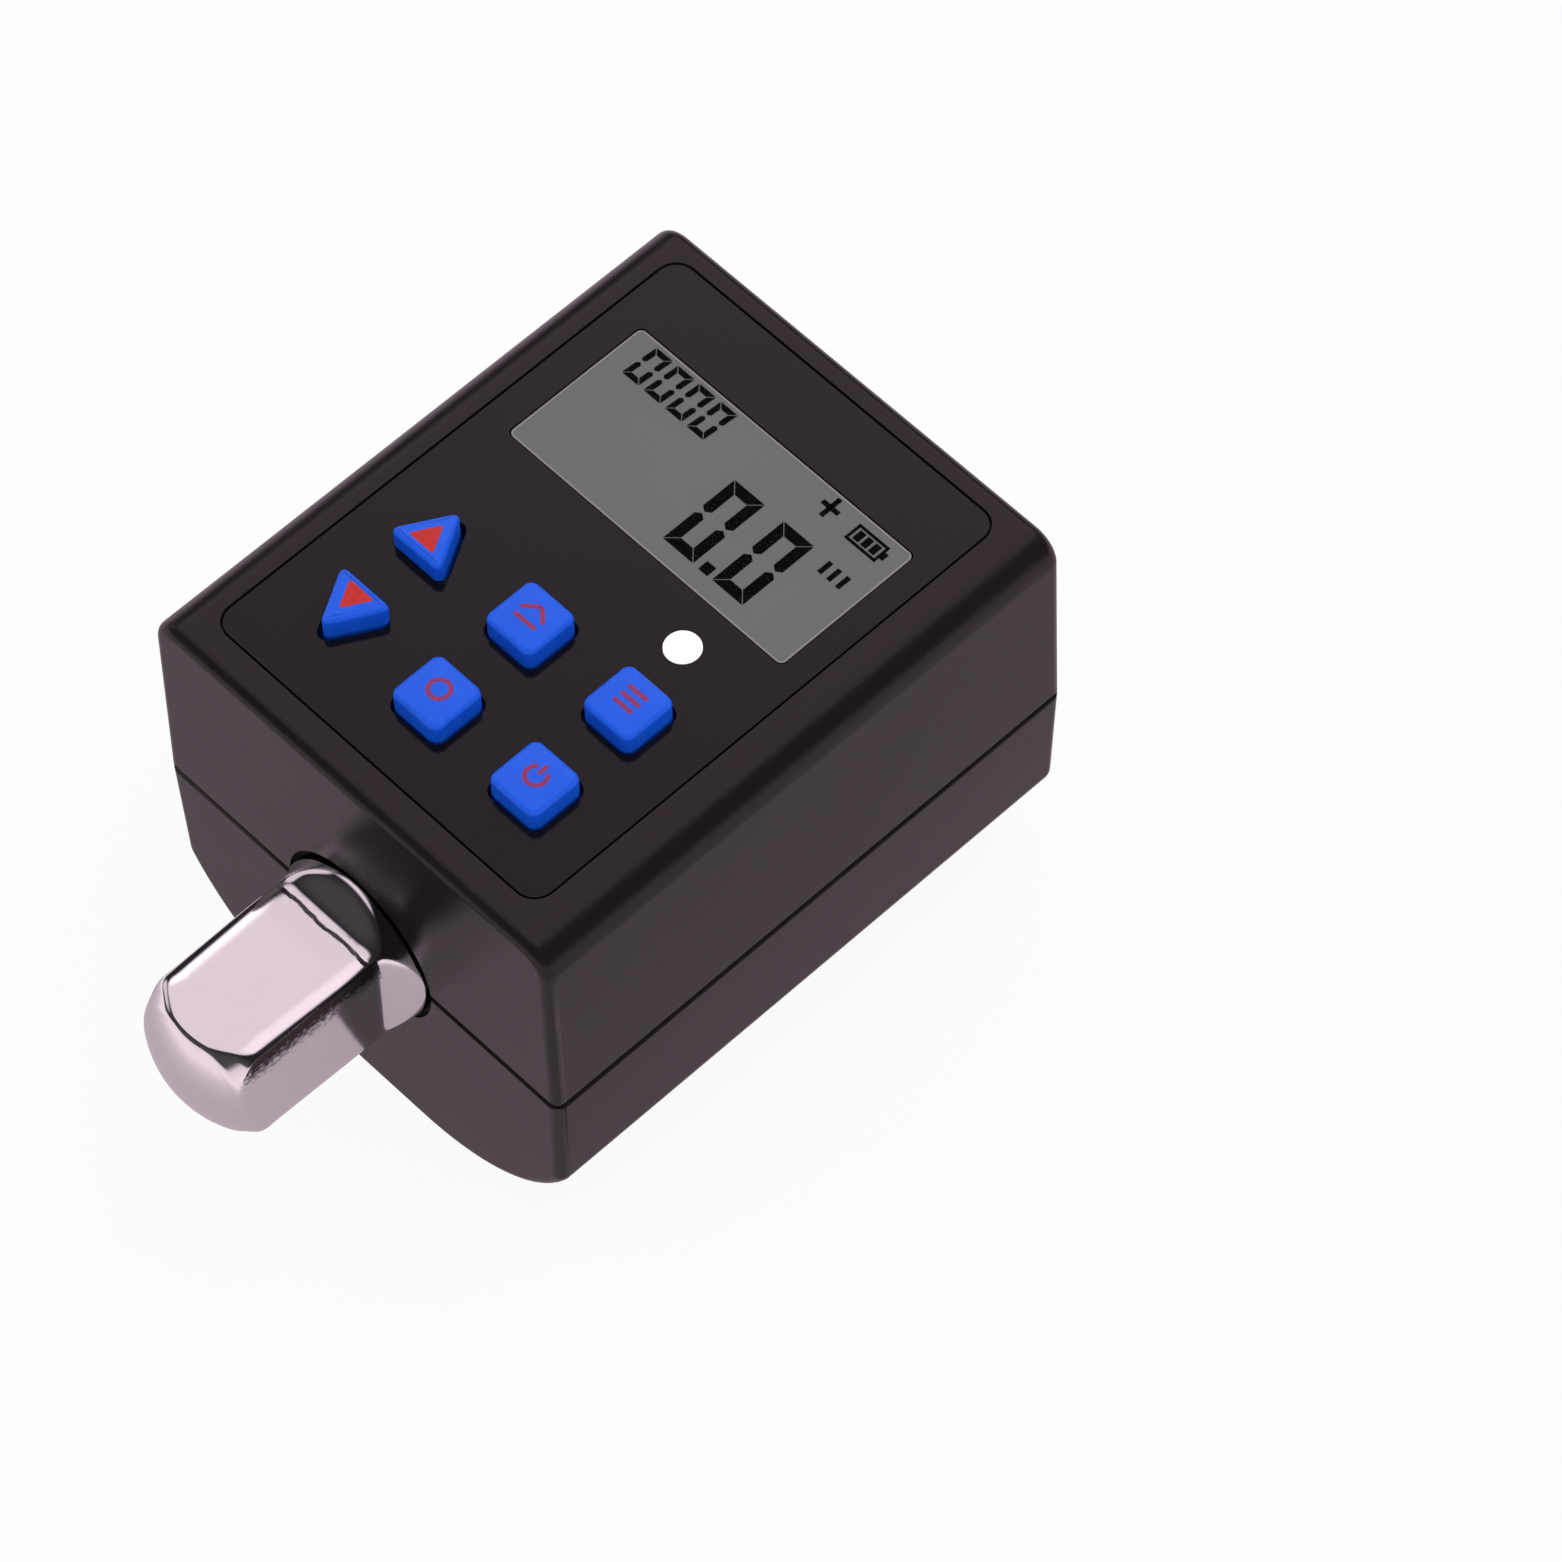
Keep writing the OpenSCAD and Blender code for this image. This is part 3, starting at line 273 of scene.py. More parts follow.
def polished_chrome(settings):
    """Plated steel, faintly wavy, with a cutter's mark on the male square, and a painted dark reflection high
    on its side flats.
    """
    flat_edge = 5.7 * MM
    side_flat = 5.9 * MM
    mark_place, mark_reach = FRONT - 3.7 * MM, 0.5 * MM
    # Where the painted dark reflection lies on the side flats, and its near-black colour.
    dark_band_end = FRONT - 3 * MM
    dark_band_low, dark_band_high = 3.3 * MM, 5.2 * MM
    painted_reflection_colour = (0.04, 0.033, 0.037)
    surface = Surface("polished chrome", Metallic=1.0)
    wave = surface.noise(5 * MM, 2)
    lines = surface.stretched_noise(0.35 * MM, (1, 0.06, 1), 3)
    haze = surface.noise(2.2 * MM, 3)
    x, y, z = (surface.axis(i) for i in range(3))
    side, height = abs(x), z - SEAM
    away = y + 0.7 * MM * (surface.noise(1.8 * MM, 3) - 0.5) - mark_place
    mark = surface.soft_step(abs(away), mark_reach, 0) * (side < flat_edge) * (height > flat_edge)
    fine = surface.stretched_noise(0.2 * MM, (1, 0.4, 1), 2)
    # Painted reflection: the upper parts of both side flats are painted near black, as a dark band standing
    # in for the dark surround they would mirror. There the plating is also rougher and a little sunk.
    flats = (side > side_flat) * (y < dark_band_end)
    painted_dark_band = surface.soft_step(height + 3.2 * MM * (fine - 0.5), dark_band_low, dark_band_high) * flats
    plate = surface.blend(haze, *shades(settings.colour, 0.95))
    surface.paint(painted_dark_band, plate, painted_reflection_colour)
    surface.roughen(settings.roughness + 0.2 * painted_dark_band, (0.05, haze), (0.04, lines))
    surface.bump(wave * 0.9 + lines * 0.1 - painted_dark_band * 0.2 - mark * settings.cutter_mark, settings.waviness)
    return surface.owner


def plain_steel(name, colour, roughness):
    """Bare or zinc-plated steel with drawn streaks."""
    surface = Surface(name, Metallic=1.0)
    streak = surface.stretched_noise(0.3 * MM, (1, 1, 0.15), 3)
    patch = surface.noise(1.6 * MM, 2)
    surface.paint(patch, *shades(colour, 0.82))
    surface.roughen(roughness, (0.12, streak))
    surface.bump(streak, 0.004 * MM)
    return surface.owner


def moulded(name, colour, roughness):
    """Small moulded parts: rubber, acetal, wire sleeves and chip bodies."""
    surface = Surface(name, IOR=1.45)
    cloud = surface.noise(4 * MM, 2)
    fine = surface.noise(0.25 * MM, 2)
    surface.paint(cloud, *shades(colour, 0.85))
    surface.roughen(roughness, (0.1, fine))
    surface.bump(fine, 0.008 * MM)
    return surface.owner


def circuit_board():
    """Green solder resist with copper tracks that run both ways, and tinned vias."""
    surface = Surface("circuit board", IOR=1.5)
    pitch = 1.6 * MM
    across = abs(surface.axis(0) / pitch % 1.0 - 0.5)
    along = abs(surface.axis(1) / pitch % 1.0 - 0.5)
    region = surface.noise(7 * MM, 0)
    track = (across < 0.12) * (region > 0.52) + (along < 0.12) * (region < 0.46)
    via = surface.math("ADD", across.power(2), along.power(2)) < 0.02
    resist = surface.blend(track, (0.012, 0.10, 0.035), (0.03, 0.2, 0.07))
    surface.paint(via, resist, (0.55, 0.55, 0.5))
    surface.wear("Metallic", via * 0.9)
    surface.wear("Roughness", 0.35 - 0.1 * via)
    surface.bump(track + via, 0.02 * MM)
    return surface.owner


def gauge_film():
    """Amber film with the folded foil grid of a strain gauge."""
    surface = Surface("gauge film", IOR=1.5)
    fold = abs(surface.axis(0) / (0.5 * MM) % 1.0 - 0.5)
    foil = (fold < 0.2) * (abs(surface.axis(0)) < 2 * MM)
    surface.paint(foil, (0.55, 0.26, 0.05), (0.6, 0.55, 0.45))
    surface.wear("Metallic", foil * 0.8)
    surface.wear("Roughness", 0.32 - 0.08 * foil)
    surface.bump(foil, 0.01 * MM)
    return surface.owner


def cell_jacket():
    """Plain shrink sleeve of a dry cell with a bright band, and bare ends."""
    surface = Surface("cell jacket", IOR=1.5)
    bare_end = 3.2 * MM
    low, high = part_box("battery_cells")
    away = abs(surface.axis(1) - (low.y + high.y) / 2)
    band = (away > 13 * MM) * (away < 17 * MM)
    bare = away > (high.y - low.y) / 2 - bare_end
    scuff = surface.noise(1.4 * MM, 3)
    sleeve = surface.blend(band, (0.03, 0.035, 0.05), (0.65, 0.33, 0.05))
    surface.paint(bare, sleeve, (0.6, 0.6, 0.58))
    surface.wear("Metallic", bare * 0.9)
    surface.roughen(0.28, (0.15, scuff))
    surface.bump(scuff, 0.006 * MM)
    return surface.owner


# Pieces

def even_shading(piece):
    """Shades a piece so that its large faces stay flat."""
    shading = piece.modifiers.new("even shading", "WEIGHTED_NORMAL")
    shading.keep_sharp = True
    shading.weight = 60


def add_object(name, shape):
    """An object at the origin with a finished shape."""
    mesh = bpy.data.meshes.new(name)
    shape.to_mesh(mesh)
    shape.free()
    made = bpy.data.objects.new(name, mesh)
    bpy.context.scene.collection.objects.link(made)
    return made


def add_piece(name, shape, body, material, nodes=(), sharp=32.0, even=False):
    """A piece that rides on a body and stands for the nodes it replaces."""
    piece = add_object(name, shape)
    piece.data.materials.append(material)
    piece.data.shade_smooth()
    piece.data.set_sharp_from_angle(angle=radians(sharp))
    if even:
        even_shading(piece)
    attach(piece, body)
    if nodes:
        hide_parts(*nodes)
    return piece


def soften_edges(piece, width):
    """Rounds a piece's sharp edges, before its shading is evened."""
    soften = piece.modifiers.new("soft edge", "BEVEL")
    soften.width = width
    soften.segments = 2
    soften.limit_method = "ANGLE"
    soften.angle_limit = radians(50)
    piece.modifiers.move(1, 0)


def finish_node(node, material):
    """Gives a CAD node that stays a better material."""
    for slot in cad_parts[node].material_slots:
        slot.material = material


def box_centre(node, level):
    """Middle of a node's box, at a level of its own."""
    low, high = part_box(node)
    return Vector(((low.x + high.x) / 2, (low.y + high.y) / 2, level))


def new_verts(made):
    return [v for v in made["geom"] if isinstance(v, bmesh.types.BMVert)]


def new_edges(made, kept="geom"):
    return [e for e in made[kept] if isinstance(e, bmesh.types.BMEdge)]


def add_profile(shape, points):
    """Verts and edges of an open line through points."""
    verts = [shape.verts.new(point) for point in points]
    return verts + [shape.edges.new(pair) for pair in zip(verts, verts[1:])]


def round_off(shape, geom, reach, segments, affect="VERTICES"):
    """Rounds the corners of a flat face, or edges."""
    bmesh.ops.bevel(shape, geom=geom, offset=reach, offset_type="OFFSET", segments=segments, profile=0.5,
                    affect=affect, material=-1)


def settle(shape):
    """Welds a shape and turns its faces outward."""
    bmesh.ops.remove_doubles(shape, verts=shape.verts, dist=WELD)
    bmesh.ops.recalc_face_normals(shape, faces=shape.faces)
    return shape


def turn_upright(centre, profile, steps):
    """Turns a profile of (radius, height) about an upright axis."""
    shape = bmesh.new()
    line = add_profile(shape, [(centre.x + r, centre.y, z) for r, z in profile])
    bmesh.ops.spin(shape, geom=line, cent=centre, axis=(0, 0, 1), angle=2 * pi, steps=steps, use_merge=True)
    return settle(shape)


def node_copy(node):
    """A merged copy of a CAD node's mesh, with its flat faces whole again."""
    shape = bmesh.new()
    shape.from_mesh(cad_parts[node].data)
    bmesh.ops.remove_doubles(shape, verts=shape.verts, dist=0.001 * MM)
    bmesh.ops.dissolve_limit(shape, angle_limit=radians(0.3), verts=shape.verts, edges=shape.edges)
    return shape


def fillet_path(points, rings):
    """A path of (radius, place, fillet) corners, with arcs at its corners."""
    path = [Vector(points[0][:2])]
    for before, corner, after in zip(points, points[1:], points[2:]):
        here, fillet = Vector(corner[:2]), corner[2]
        if fillet == 0:
            path.append(here)
            continue
        one = (Vector(before[:2]) - here).normalized()
        two = (Vector(after[:2]) - here).normalized()
        half = one.angle(two) / 2
        reach = fillet / tan(half)
        centre = here + (one + two).normalized() * fillet / sin(half)
        start, end = here + one * reach - centre, here + two * reach - centre
        path += [centre + start.lerp(end, i / rings).normalized() * fillet for i in range(rings + 1)]
    path.append(Vector(points[-1][:2]))
    return path


def even_steps(path, step):
    """The same path, with even steps where the flats will be pressed."""
    least_radius, pressed_end = 5.5 * MM, FRONT + 1.5 * MM
    even = [path[0]]
    for start, end in zip(path, path[1:]):
        pressed = min(start.x, end.x) > least_radius and end.y < pressed_end
        parts = max(1, round((end - start).length / step)) if pressed else 1
        even += [start.lerp(end, i / parts) for i in range(1, parts + 1)]
    return even


def spin_path(path, turns):
    """Turns a path of (radius, place) about the shaft axis, one quarter at a time."""
    centre = Vector((0, 0, SEAM))
    shape = bmesh.new()
    line = add_profile(shape, [(r, y, SEAM) for r, y in path])
    bmesh.ops.spin(shape, geom=line, cent=centre, axis=(0, 1, 0), angle=pi / 2, steps=turns // 4)
    quarter = shape.verts[:] + shape.edges[:] + shape.faces[:]
    for turn in (1, 2, 3):
        made = bmesh.ops.duplicate(shape, geom=quarter)
        bmesh.ops.rotate(shape, verts=new_verts(made), cent=centre,
                         matrix=Matrix.Rotation(turn * pi / 2, 3, "Y"))
    return settle(shape)


def smooth_min(a, b, blend):
    """The smaller of two numbers, with a rounded change from one to the other."""
    share = max(blend - abs(a - b), 0) / blend
    return min(a, b) - share * share * blend / 4


def press_flats(shape, square, ramp_start, slope, settings):
    """Presses four flats into a turned blank, with filleted ramps where they run out."""
    run_out_start = ramp_start - 3.9 * MM
    full_start, full_length = TIP + 2 * MM, 4 * MM
    tip_share = 0.4
    for vert in shape.verts:
        x, z = vert.co.x, vert.co.z - SEAM
        radius = hypot(x, z)
        if radius < 0.5 * square:
            continue
        turn = (atan2(z, x) + pi / 4) % (pi / 2) - pi / 4
        rise = -smooth_min(0, -slope * (vert.co.y - ramp_start), settings.shoulder)
        if abs(z) > abs(x):
            rise += settings.run_out * max(vert.co.y - run_out_start, 0) ** 2 / MM
        flat = (square + rise) / cos(turn)
        from_tip = min(max((vert.co.y - full_start) / full_length, 0), 1)
        pressed = smooth_min(radius, flat, settings.edge * (tip_share + (1 - tip_share) * from_tip))
        vert.co.x = x * pressed / radius
        vert.co.z = SEAM + z * pressed / radius


def make_drive_square(settings):
    """Male square, ramps and neck, spun as one blank and then pressed."""
    neck, tip, face = 8.5 * MM, 8.3 * MM, 6.6 * MM
    dome, dome_steps = 11 * MM, 8
    chamfer, taper, fillet, fillet_steps = 2 * MM, 12 * MM, 2.4 * MM, 8
    ramp_start, ramp_slope = FRONT - 2.7 * MM, 0.9
    end = PARTING + 1 * MM

    def dome_place(radius):
        return TIP + dome - sqrt(dome ** 2 - radius ** 2)

    rim = dome_place(face)
    corners = [(face * i / dome_steps, dome_place(face * i / dome_steps), 0) for i in range(dome_steps)] + [
        (face, rim, fillet),
        (tip, rim + chamfer, fillet),
        (neck, rim + taper, 0),
        (neck, FRONT + 1 * MM, 0),
        (neck, end, 0),
        (0, end, 0),
    ]
    path = even_steps(fillet_path(corners, fillet_steps), settings.step)
    shape = spin_path(path, settings.turns)
    press_flats(shape, settings.across / 2, ramp_start, ramp_slope, settings)
    return shape


def make_hub():
    """The shaft behind the parting, closed where it was parted."""
    shape = node_copy("torque_shaft")
    parted = bmesh.ops.bisect_plane(shape, geom=shape.verts[:] + shape.edges[:] + shape.faces[:],
                                    plane_co=(0, PARTING, 0), plane_no=(0, 1, 0), clear_inner=True)
    bmesh.ops.edgenet_fill(shape, edges=new_edges(parted, "geom_cut"))
    bmesh.ops.recalc_face_normals(shape, faces=shape.faces)
    return shape


def bore_cutter(centre, radius, lip, depth):
    """Cutter for the detent's bore, with a countersunk mouth in the lower flat."""
    low = centre.z
    profile = [(0, low - lip), (radius + 2 * lip, low - lip), (radius, low + lip), (radius, low + depth),
               (0, low + depth)]
    return add_object("bore_cutter", turn_upright(centre, profile, 48))


def socket_cutters(half, depth, mouth):
    """Cutters for the square socket and for the lead-in cone at its mouth."""
    corner = 0.6 * MM
    narrow, past = 0.96 * half, 1 * MM
    foot = MOUTH + narrow - mouth
    prism = bmesh.new()
    bmesh.ops.create_cube(prism, size=2)
    bmesh.ops.scale(prism, vec=(half, depth, half), verts=prism.verts)
    bmesh.ops.translate(prism, vec=(0, MOUTH, SEAM), verts=prism.verts)
    along = [e for e in prism.edges if abs(e.verts[0].co.y - e.verts[1].co.y) > depth]
    round_off(prism, along, corner, 6, "EDGES")
    bmesh.ops.recalc_face_normals(prism, faces=prism.faces)
    cone = spin_path([(0, foot), (narrow, foot), (mouth + past, MOUTH + past), (0, MOUTH + past)], 192)
    return add_object("prism_cutter", prism), add_object("cone_cutter", cone)


def open_seam(shape, gap):
    """Draws the outer rim back from the seam, so that the shells meet in a fine groove."""
    middle = Vector((0, (FRONT + REAR) / 2, SEAM))
    groove = 0.3 * MM
    for vert in shape.verts:
        if abs(vert.co.z - SEAM) < groove:
            outward = (vert.co - middle).normalized()
            if any(face.normal.dot(outward) > 0.5 for face in vert.link_faces):
                vert.co.z += gap


def cut_away(piece, cutter, sharp):
    """Applies a boolean cut and removes the cutter."""
    cut = piece.modifiers.new("cut", "BOOLEAN")
    cut.operation = "DIFFERENCE"
    cut.solver = "EXACT"
    cut.object = cutter
    bpy.context.view_layer.update()
    mesh = bpy.data.meshes.new_from_object(piece.evaluated_get(bpy.context.evaluated_depsgraph_get()))
    mesh.set_sharp_from_angle(angle=radians(sharp))
    piece.modifiers.remove(cut)
    piece.data = mesh
    bpy.data.objects.remove(cutter)


def clear_slivers(piece, least, sharp):
    """Merges the slivers that cuts leave, and shades the piece from its faces alone."""
    shape = bmesh.new()
    shape.from_mesh(piece.data)
    bmesh.ops.remove_doubles(shape, verts=shape.verts, dist=least)
    bmesh.ops.dissolve_degenerate(shape, edges=shape.edges, dist=least / 2)
    bmesh.ops.connect_verts_concave(shape, faces=shape.faces)
    bmesh.ops.recalc_face_normals(shape, faces=shape.faces)
    shape.to_mesh(piece.data)
    shape.free()
    custom = piece.data.attributes.get("custom_normal")
    if custom:
        piece.data.attributes.remove(custom)
    piece.data.set_sharp_from_angle(angle=radians(sharp))


def outline_prism(shape, corners, corner_reach, low, high, top_edge):
    """Adds an upright prism with rounded corners and a rounded top edge."""
    verts = [shape.verts.new((x, y, low)) for x, y in corners]
    face = shape.faces.new(verts)
    if face.normal.z > 0:
        face.normal_flip()
    round_off(shape, verts, corner_reach, 6)
    base = [f for f in shape.faces if all(abs(v.co.z - low) < 0.001 * MM for v in f.verts)
            and not any(e.is_manifold for e in f.edges)]
    raised = bmesh.ops.extrude_face_region(shape, geom=base)
    bmesh.ops.translate(shape, verts=new_verts(raised), vec=(0, 0, high - low))
    if top_edge:
        round_off(shape, new_edges(raised), top_edge, 6, "EDGES")


def square_corners(centre, half):
    return [(centre.x + half * i, centre.y + half * j) for i, j in ((-1, -1), (1, -1), (1, 1), (-1, 1))]


def arrow_corners(centre, width, length, way):
    side, ahead = way * width / 2, way * length / 2
    return [(centre.x + i * side, centre.y + j * ahead) for i, j in ((-1, -1), (1, -1), (0, 1))]


def key_centre(name):
    return box_centre("key_" + name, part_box("key_" + name)[1].z)


def make_key(name, settings):
    """Cap, flange and stem of one key."""
    low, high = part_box("key_" + name)
    centre = key_centre(name)
    lip = 1 * MM
    stem, stem_foot, stem_top = 2 * MM, 1.45 * MM, 1.5 * MM
    flange_low, flange_height, overlap = low.z + 1.9 * MM, 0.8 * MM, 0.05 * MM
    shape = bmesh.new()
    if name in ARROWS:
        way = ARROWS[name]
        width, length = 6.6 * MM, 5.7 * MM
        spread = 1.75 * lip
        cap = arrow_corners(centre, width, length, way)
        flange = arrow_corners(centre, width + 2 * spread, length + 1.5 * spread, way)
        reach, flange_reach = 1 * MM, 2.6 * MM
    else:
        half = (high.x - low.x) / 2 - lip
        cap = square_corners(centre, half)
        flange = square_corners(centre, half + lip)
        reach, flange_reach = settings.corner, settings.corner + lip
    outline_prism(shape, flange, flange_reach, flange_low, flange_low + flange_height, 0)
    outline_prism(shape, cap, reach, flange_low + flange_height - overlap, high.z, settings.top_edge)
    cone = bmesh.ops.create_cone(shape, cap_ends=True, segments=32, radius1=stem_foot, radius2=stem_top,
                                 depth=stem)
    bmesh.ops.translate(shape, verts=cone["verts"], vec=(centre.x, centre.y, low.z + stem / 2))
    bmesh.ops.recalc_face_normals(shape, faces=shape.faces)
    return shape


def flat_ring(shape, centre, outer, inner, start=0.0, end=360.0, steps=40):
    """A thin printed ring or arc."""
    edge = [shape.verts.new(centre + Vector((r, 0, 0))) for r in (inner, outer)]
    whole = end - start >= 360
    line = shape.edges.new(edge)
    bmesh.ops.rotate(shape, verts=edge, cent=centre, matrix=Matrix.Rotation(radians(start), 3, "Z"))
    bmesh.ops.spin(shape, geom=edge + [line], cent=centre, axis=(0, 0, 1), angle=radians(end - start),
                   steps=steps, use_merge=whole)


def flat_bar(shape, start, end, width):
    """A thin printed bar with rounded ends."""
    along = (end - start).normalized()
    side = Vector((-along.y, along.x, 0)) * width / 2
    verts = [shape.verts.new(p) for p in (start - side, end - side, end + side, start + side)]
    shape.faces.new(verts)
    round_off(shape, verts, reach=width * 0.45, segments=4)


def thicken(shape, height):
    """Raises flat print by its ink's thickness."""
    bmesh.ops.remove_doubles(shape, verts=shape.verts, dist=WELD)
    for face in shape.faces:
        face.normal_update()
        if face.normal.z > 0:
            face.normal_flip()
    raised = bmesh.ops.extrude_face_region(shape, geom=shape.faces[:])
    bmesh.ops.translate(shape, verts=new_verts(raised), vec=(0, 0, height))
    bmesh.ops.recalc_face_normals(shape, faces=shape.faces)


def make_mark(name, settings):
    """Generic print on a key: triangle, chevron with a bar, ring, three bars or arc with a bar."""
    shape = bmesh.new()
    centre = key_centre(name) + Vector((0, 0.1 * MM, -0.004 * MM))
    line, outer, inner = 0.42 * MM, 1.2 * MM, 0.78 * MM

    def at(x, y):
        return centre + Vector((x, y, 0)) * MM

    if name in ARROWS:
        way = ARROWS[name]
        low = centre + Vector((0, -way * 0.75 * MM, 0))
        width, length = 3.1 * MM, 2.7 * MM
        corners = arrow_corners(low, width, length, way)
        verts = [shape.verts.new((x, y, centre.z)) for x, y in corners]
        shape.faces.new(verts)
        round_off(shape, verts, reach=0.3 * MM, segments=3)
    if name == "unit":
        flat_ring(shape, at(0, 0.2), outer, inner)
    if name == "clear":
        flat_ring(shape, at(0, 0.1), outer, inner, 125, 415, 32)
    bars = {
        "peak": [(-1.4, 0.1, 0, 1.3), (0, 1.3, 1.4, 0.1), (-1.3, -0.7, 1.3, -0.7)],
        "mode": [(-1.15, row, 1.15, row) for row in (-0.7, 0.2, 1.1)],
        "clear": [(0, 0.3, 0, 1.5)],
    }
    for x, y, end_x, end_y in bars.get(name, ()):
        flat_bar(shape, at(x, y), at(end_x, end_y), line)
    thicken(shape, settings.ink)
    return shape


def digit_zero(shape, corner, width, height, stroke, lean=0.0):
    """The six outer segments of a seven-segment digit."""
    gap = 0.12 * MM
    miter, half = gap / 2, height / 2
    shoulder = half - gap - stroke * 0.35
    bar = [(miter, 0), (width - miter, 0), (width - stroke - miter, stroke), (stroke + miter, stroke)]
    post = [(0, miter), (stroke, stroke + miter), (stroke, shoulder), (stroke / 2, half - gap), (0, shoulder)]

    def segment(points, mirrored, turned):
        placed = [(width - x if mirrored else x, height - y if turned else y) for x, y in points]
        shape.faces.new([shape.verts.new(corner + Vector((x + lean * y, y, 0))) for x, y in placed])

    for turned in (False, True):
        segment(bar, False, turned)
        for mirrored in (False, True):
            segment(post, mirrored, turned)


def make_digits(settings):
    """Zeros of the two readings with the point, a battery outline, and bars and a plus sign for words."""
    shape = bmesh.new()
    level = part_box("window_lens")[1].z - settings.depth + 0.01 * MM

    def at(x, y):
        return Vector((x * MM, FRONT + y * MM, level))

    for count in range(4):
        digit_zero(shape, at(-15 + 2.71 * count, 46.55), width=2.1 * MM, height=3.95 * MM,
                   stroke=0.58 * MM, lean=0.07)
    for count in range(2):
        digit_zero(shape, at(0.2 + 6.1 * count, 37), width=3.75 * MM, height=8.6 * MM, stroke=1.1 * MM)
    point = [(4.65, 36.95, 1.12, 1.12)]
    battery = [(11.1, 48.1, 3.7, 0.3), (11.1, 49.8, 3.7, 0.3), (11.1, 48.1, 0.3, 2), (14.5, 48.1, 0.3, 2),
               (14.8, 48.7, 0.4, 0.8)]
    charge = [(11.65 + 0.95 * i, 48.55, 0.7, 1.1) for i in range(3)]
    bars = [(12 + 1.1 * i, 44, 0.5, 1.5) for i in range(3)]
    plus = [(7.1, 49.2, 2, 0.5), (7.85, 48.25, 0.5, 2.4)]
    for x, y, wide, tall in point + battery + charge + bars + plus:
        corners = ((x, y), (x + wide, y), (x + wide, y + tall), (x, y + tall))
        shape.faces.new([shape.verts.new(at(*corner)) for corner in corners])
    thicken(shape, settings.ink)
    return shape


def window_outline(depth):
    """Flat face with the window's rounded outline, at a depth under the window's face."""
    low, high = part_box("window_lens")
    shape = bmesh.new()
    corners = [(low.x, low.y), (high.x, low.y), (high.x, high.y), (low.x, high.y)]
    verts = [shape.verts.new((x, y, high.z - depth)) for x, y in corners]
    shape.faces.new(verts)
    round_off(shape, verts, reach=0.6 * MM, segments=5)
    return shape


def make_display_film(settings):
    """Front film of the display, right behind the window's face."""
    film = 0.1 * MM
    shape = window_outline(settings.depth + film)
    thicken(shape, film)
    return shape


def make_painted_rim_highlight(settings):
    """Thin pale line round the film, a painted highlight in place of light caught on the window's chamfered
    edge.
    """
    shape = window_outline(settings.depth - 0.008 * MM)
    inner = bmesh.ops.inset_region(shape, faces=shape.faces[:], thickness=settings.rim_highlight,
                                   use_even_offset=True, use_boundary=True)
    hole = [f for f in shape.faces if f not in inner["faces"]]
    bmesh.ops.delete(shape, geom=hole, context="FACES")
    thicken(shape, settings.ink)
    return shape


def make_lamp():
    """Round lamp with a low dome, spun about its own axis."""
    low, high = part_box("indicator_lamp")
    radius, dome = 1.7 * MM, 0.2 * MM
    flange, flange_top = (high.x - low.x) / 2, low.z + 1.6 * MM
    profile = [(0, low.z), (flange, low.z), (flange, flange_top), (radius, flange_top),
               (radius, high.z - dome)]
    profile += [(radius * cos(radians(a)), high.z - dome + dome * sin(radians(a))) for a in (20, 40, 60, 80)]
    profile += [(0, high.z)]
    return turn_upright(box_centre("indicator_lamp", 0), profile, 64)


# Sizes and colours that a user would change

class CaseSettings(bpy.types.PropertyGroup):
    colour: FloatVectorProperty(
        name="Case colour", description="Colour of the moulded shells", subtype="COLOR",
        default=(0.0138, 0.0086, 0.0118), min=0, max=1)
    roughness: FloatProperty(
        name="Case roughness", description="Roughness of the shells", default=0.28, min=0, max=1)
    soft_edge: FloatProperty(
        name="Soft edge", description="Rounding of the shells' sharp edges", default=0.08 * MM, unit="LENGTH")
    seam_gap: FloatProperty(
        name="Seam", description="Extra width of the groove at the seam", default=0.5 * MM, unit="LENGTH")
    grain: FloatProperty(
        name="Grain", description="Height of the moulded grain", default=0.004 * MM, unit="LENGTH")
    panel_colour: FloatVectorProperty(
        name="Panel colour", description="Colour of the face panel", subtype="COLOR",
        default=(0.004, 0.0035, 0.004), min=0, max=1)
    panel_roughness: FloatProperty(
        name="Panel roughness", description="Roughness of the face panel", default=0.1, min=0, max=1)


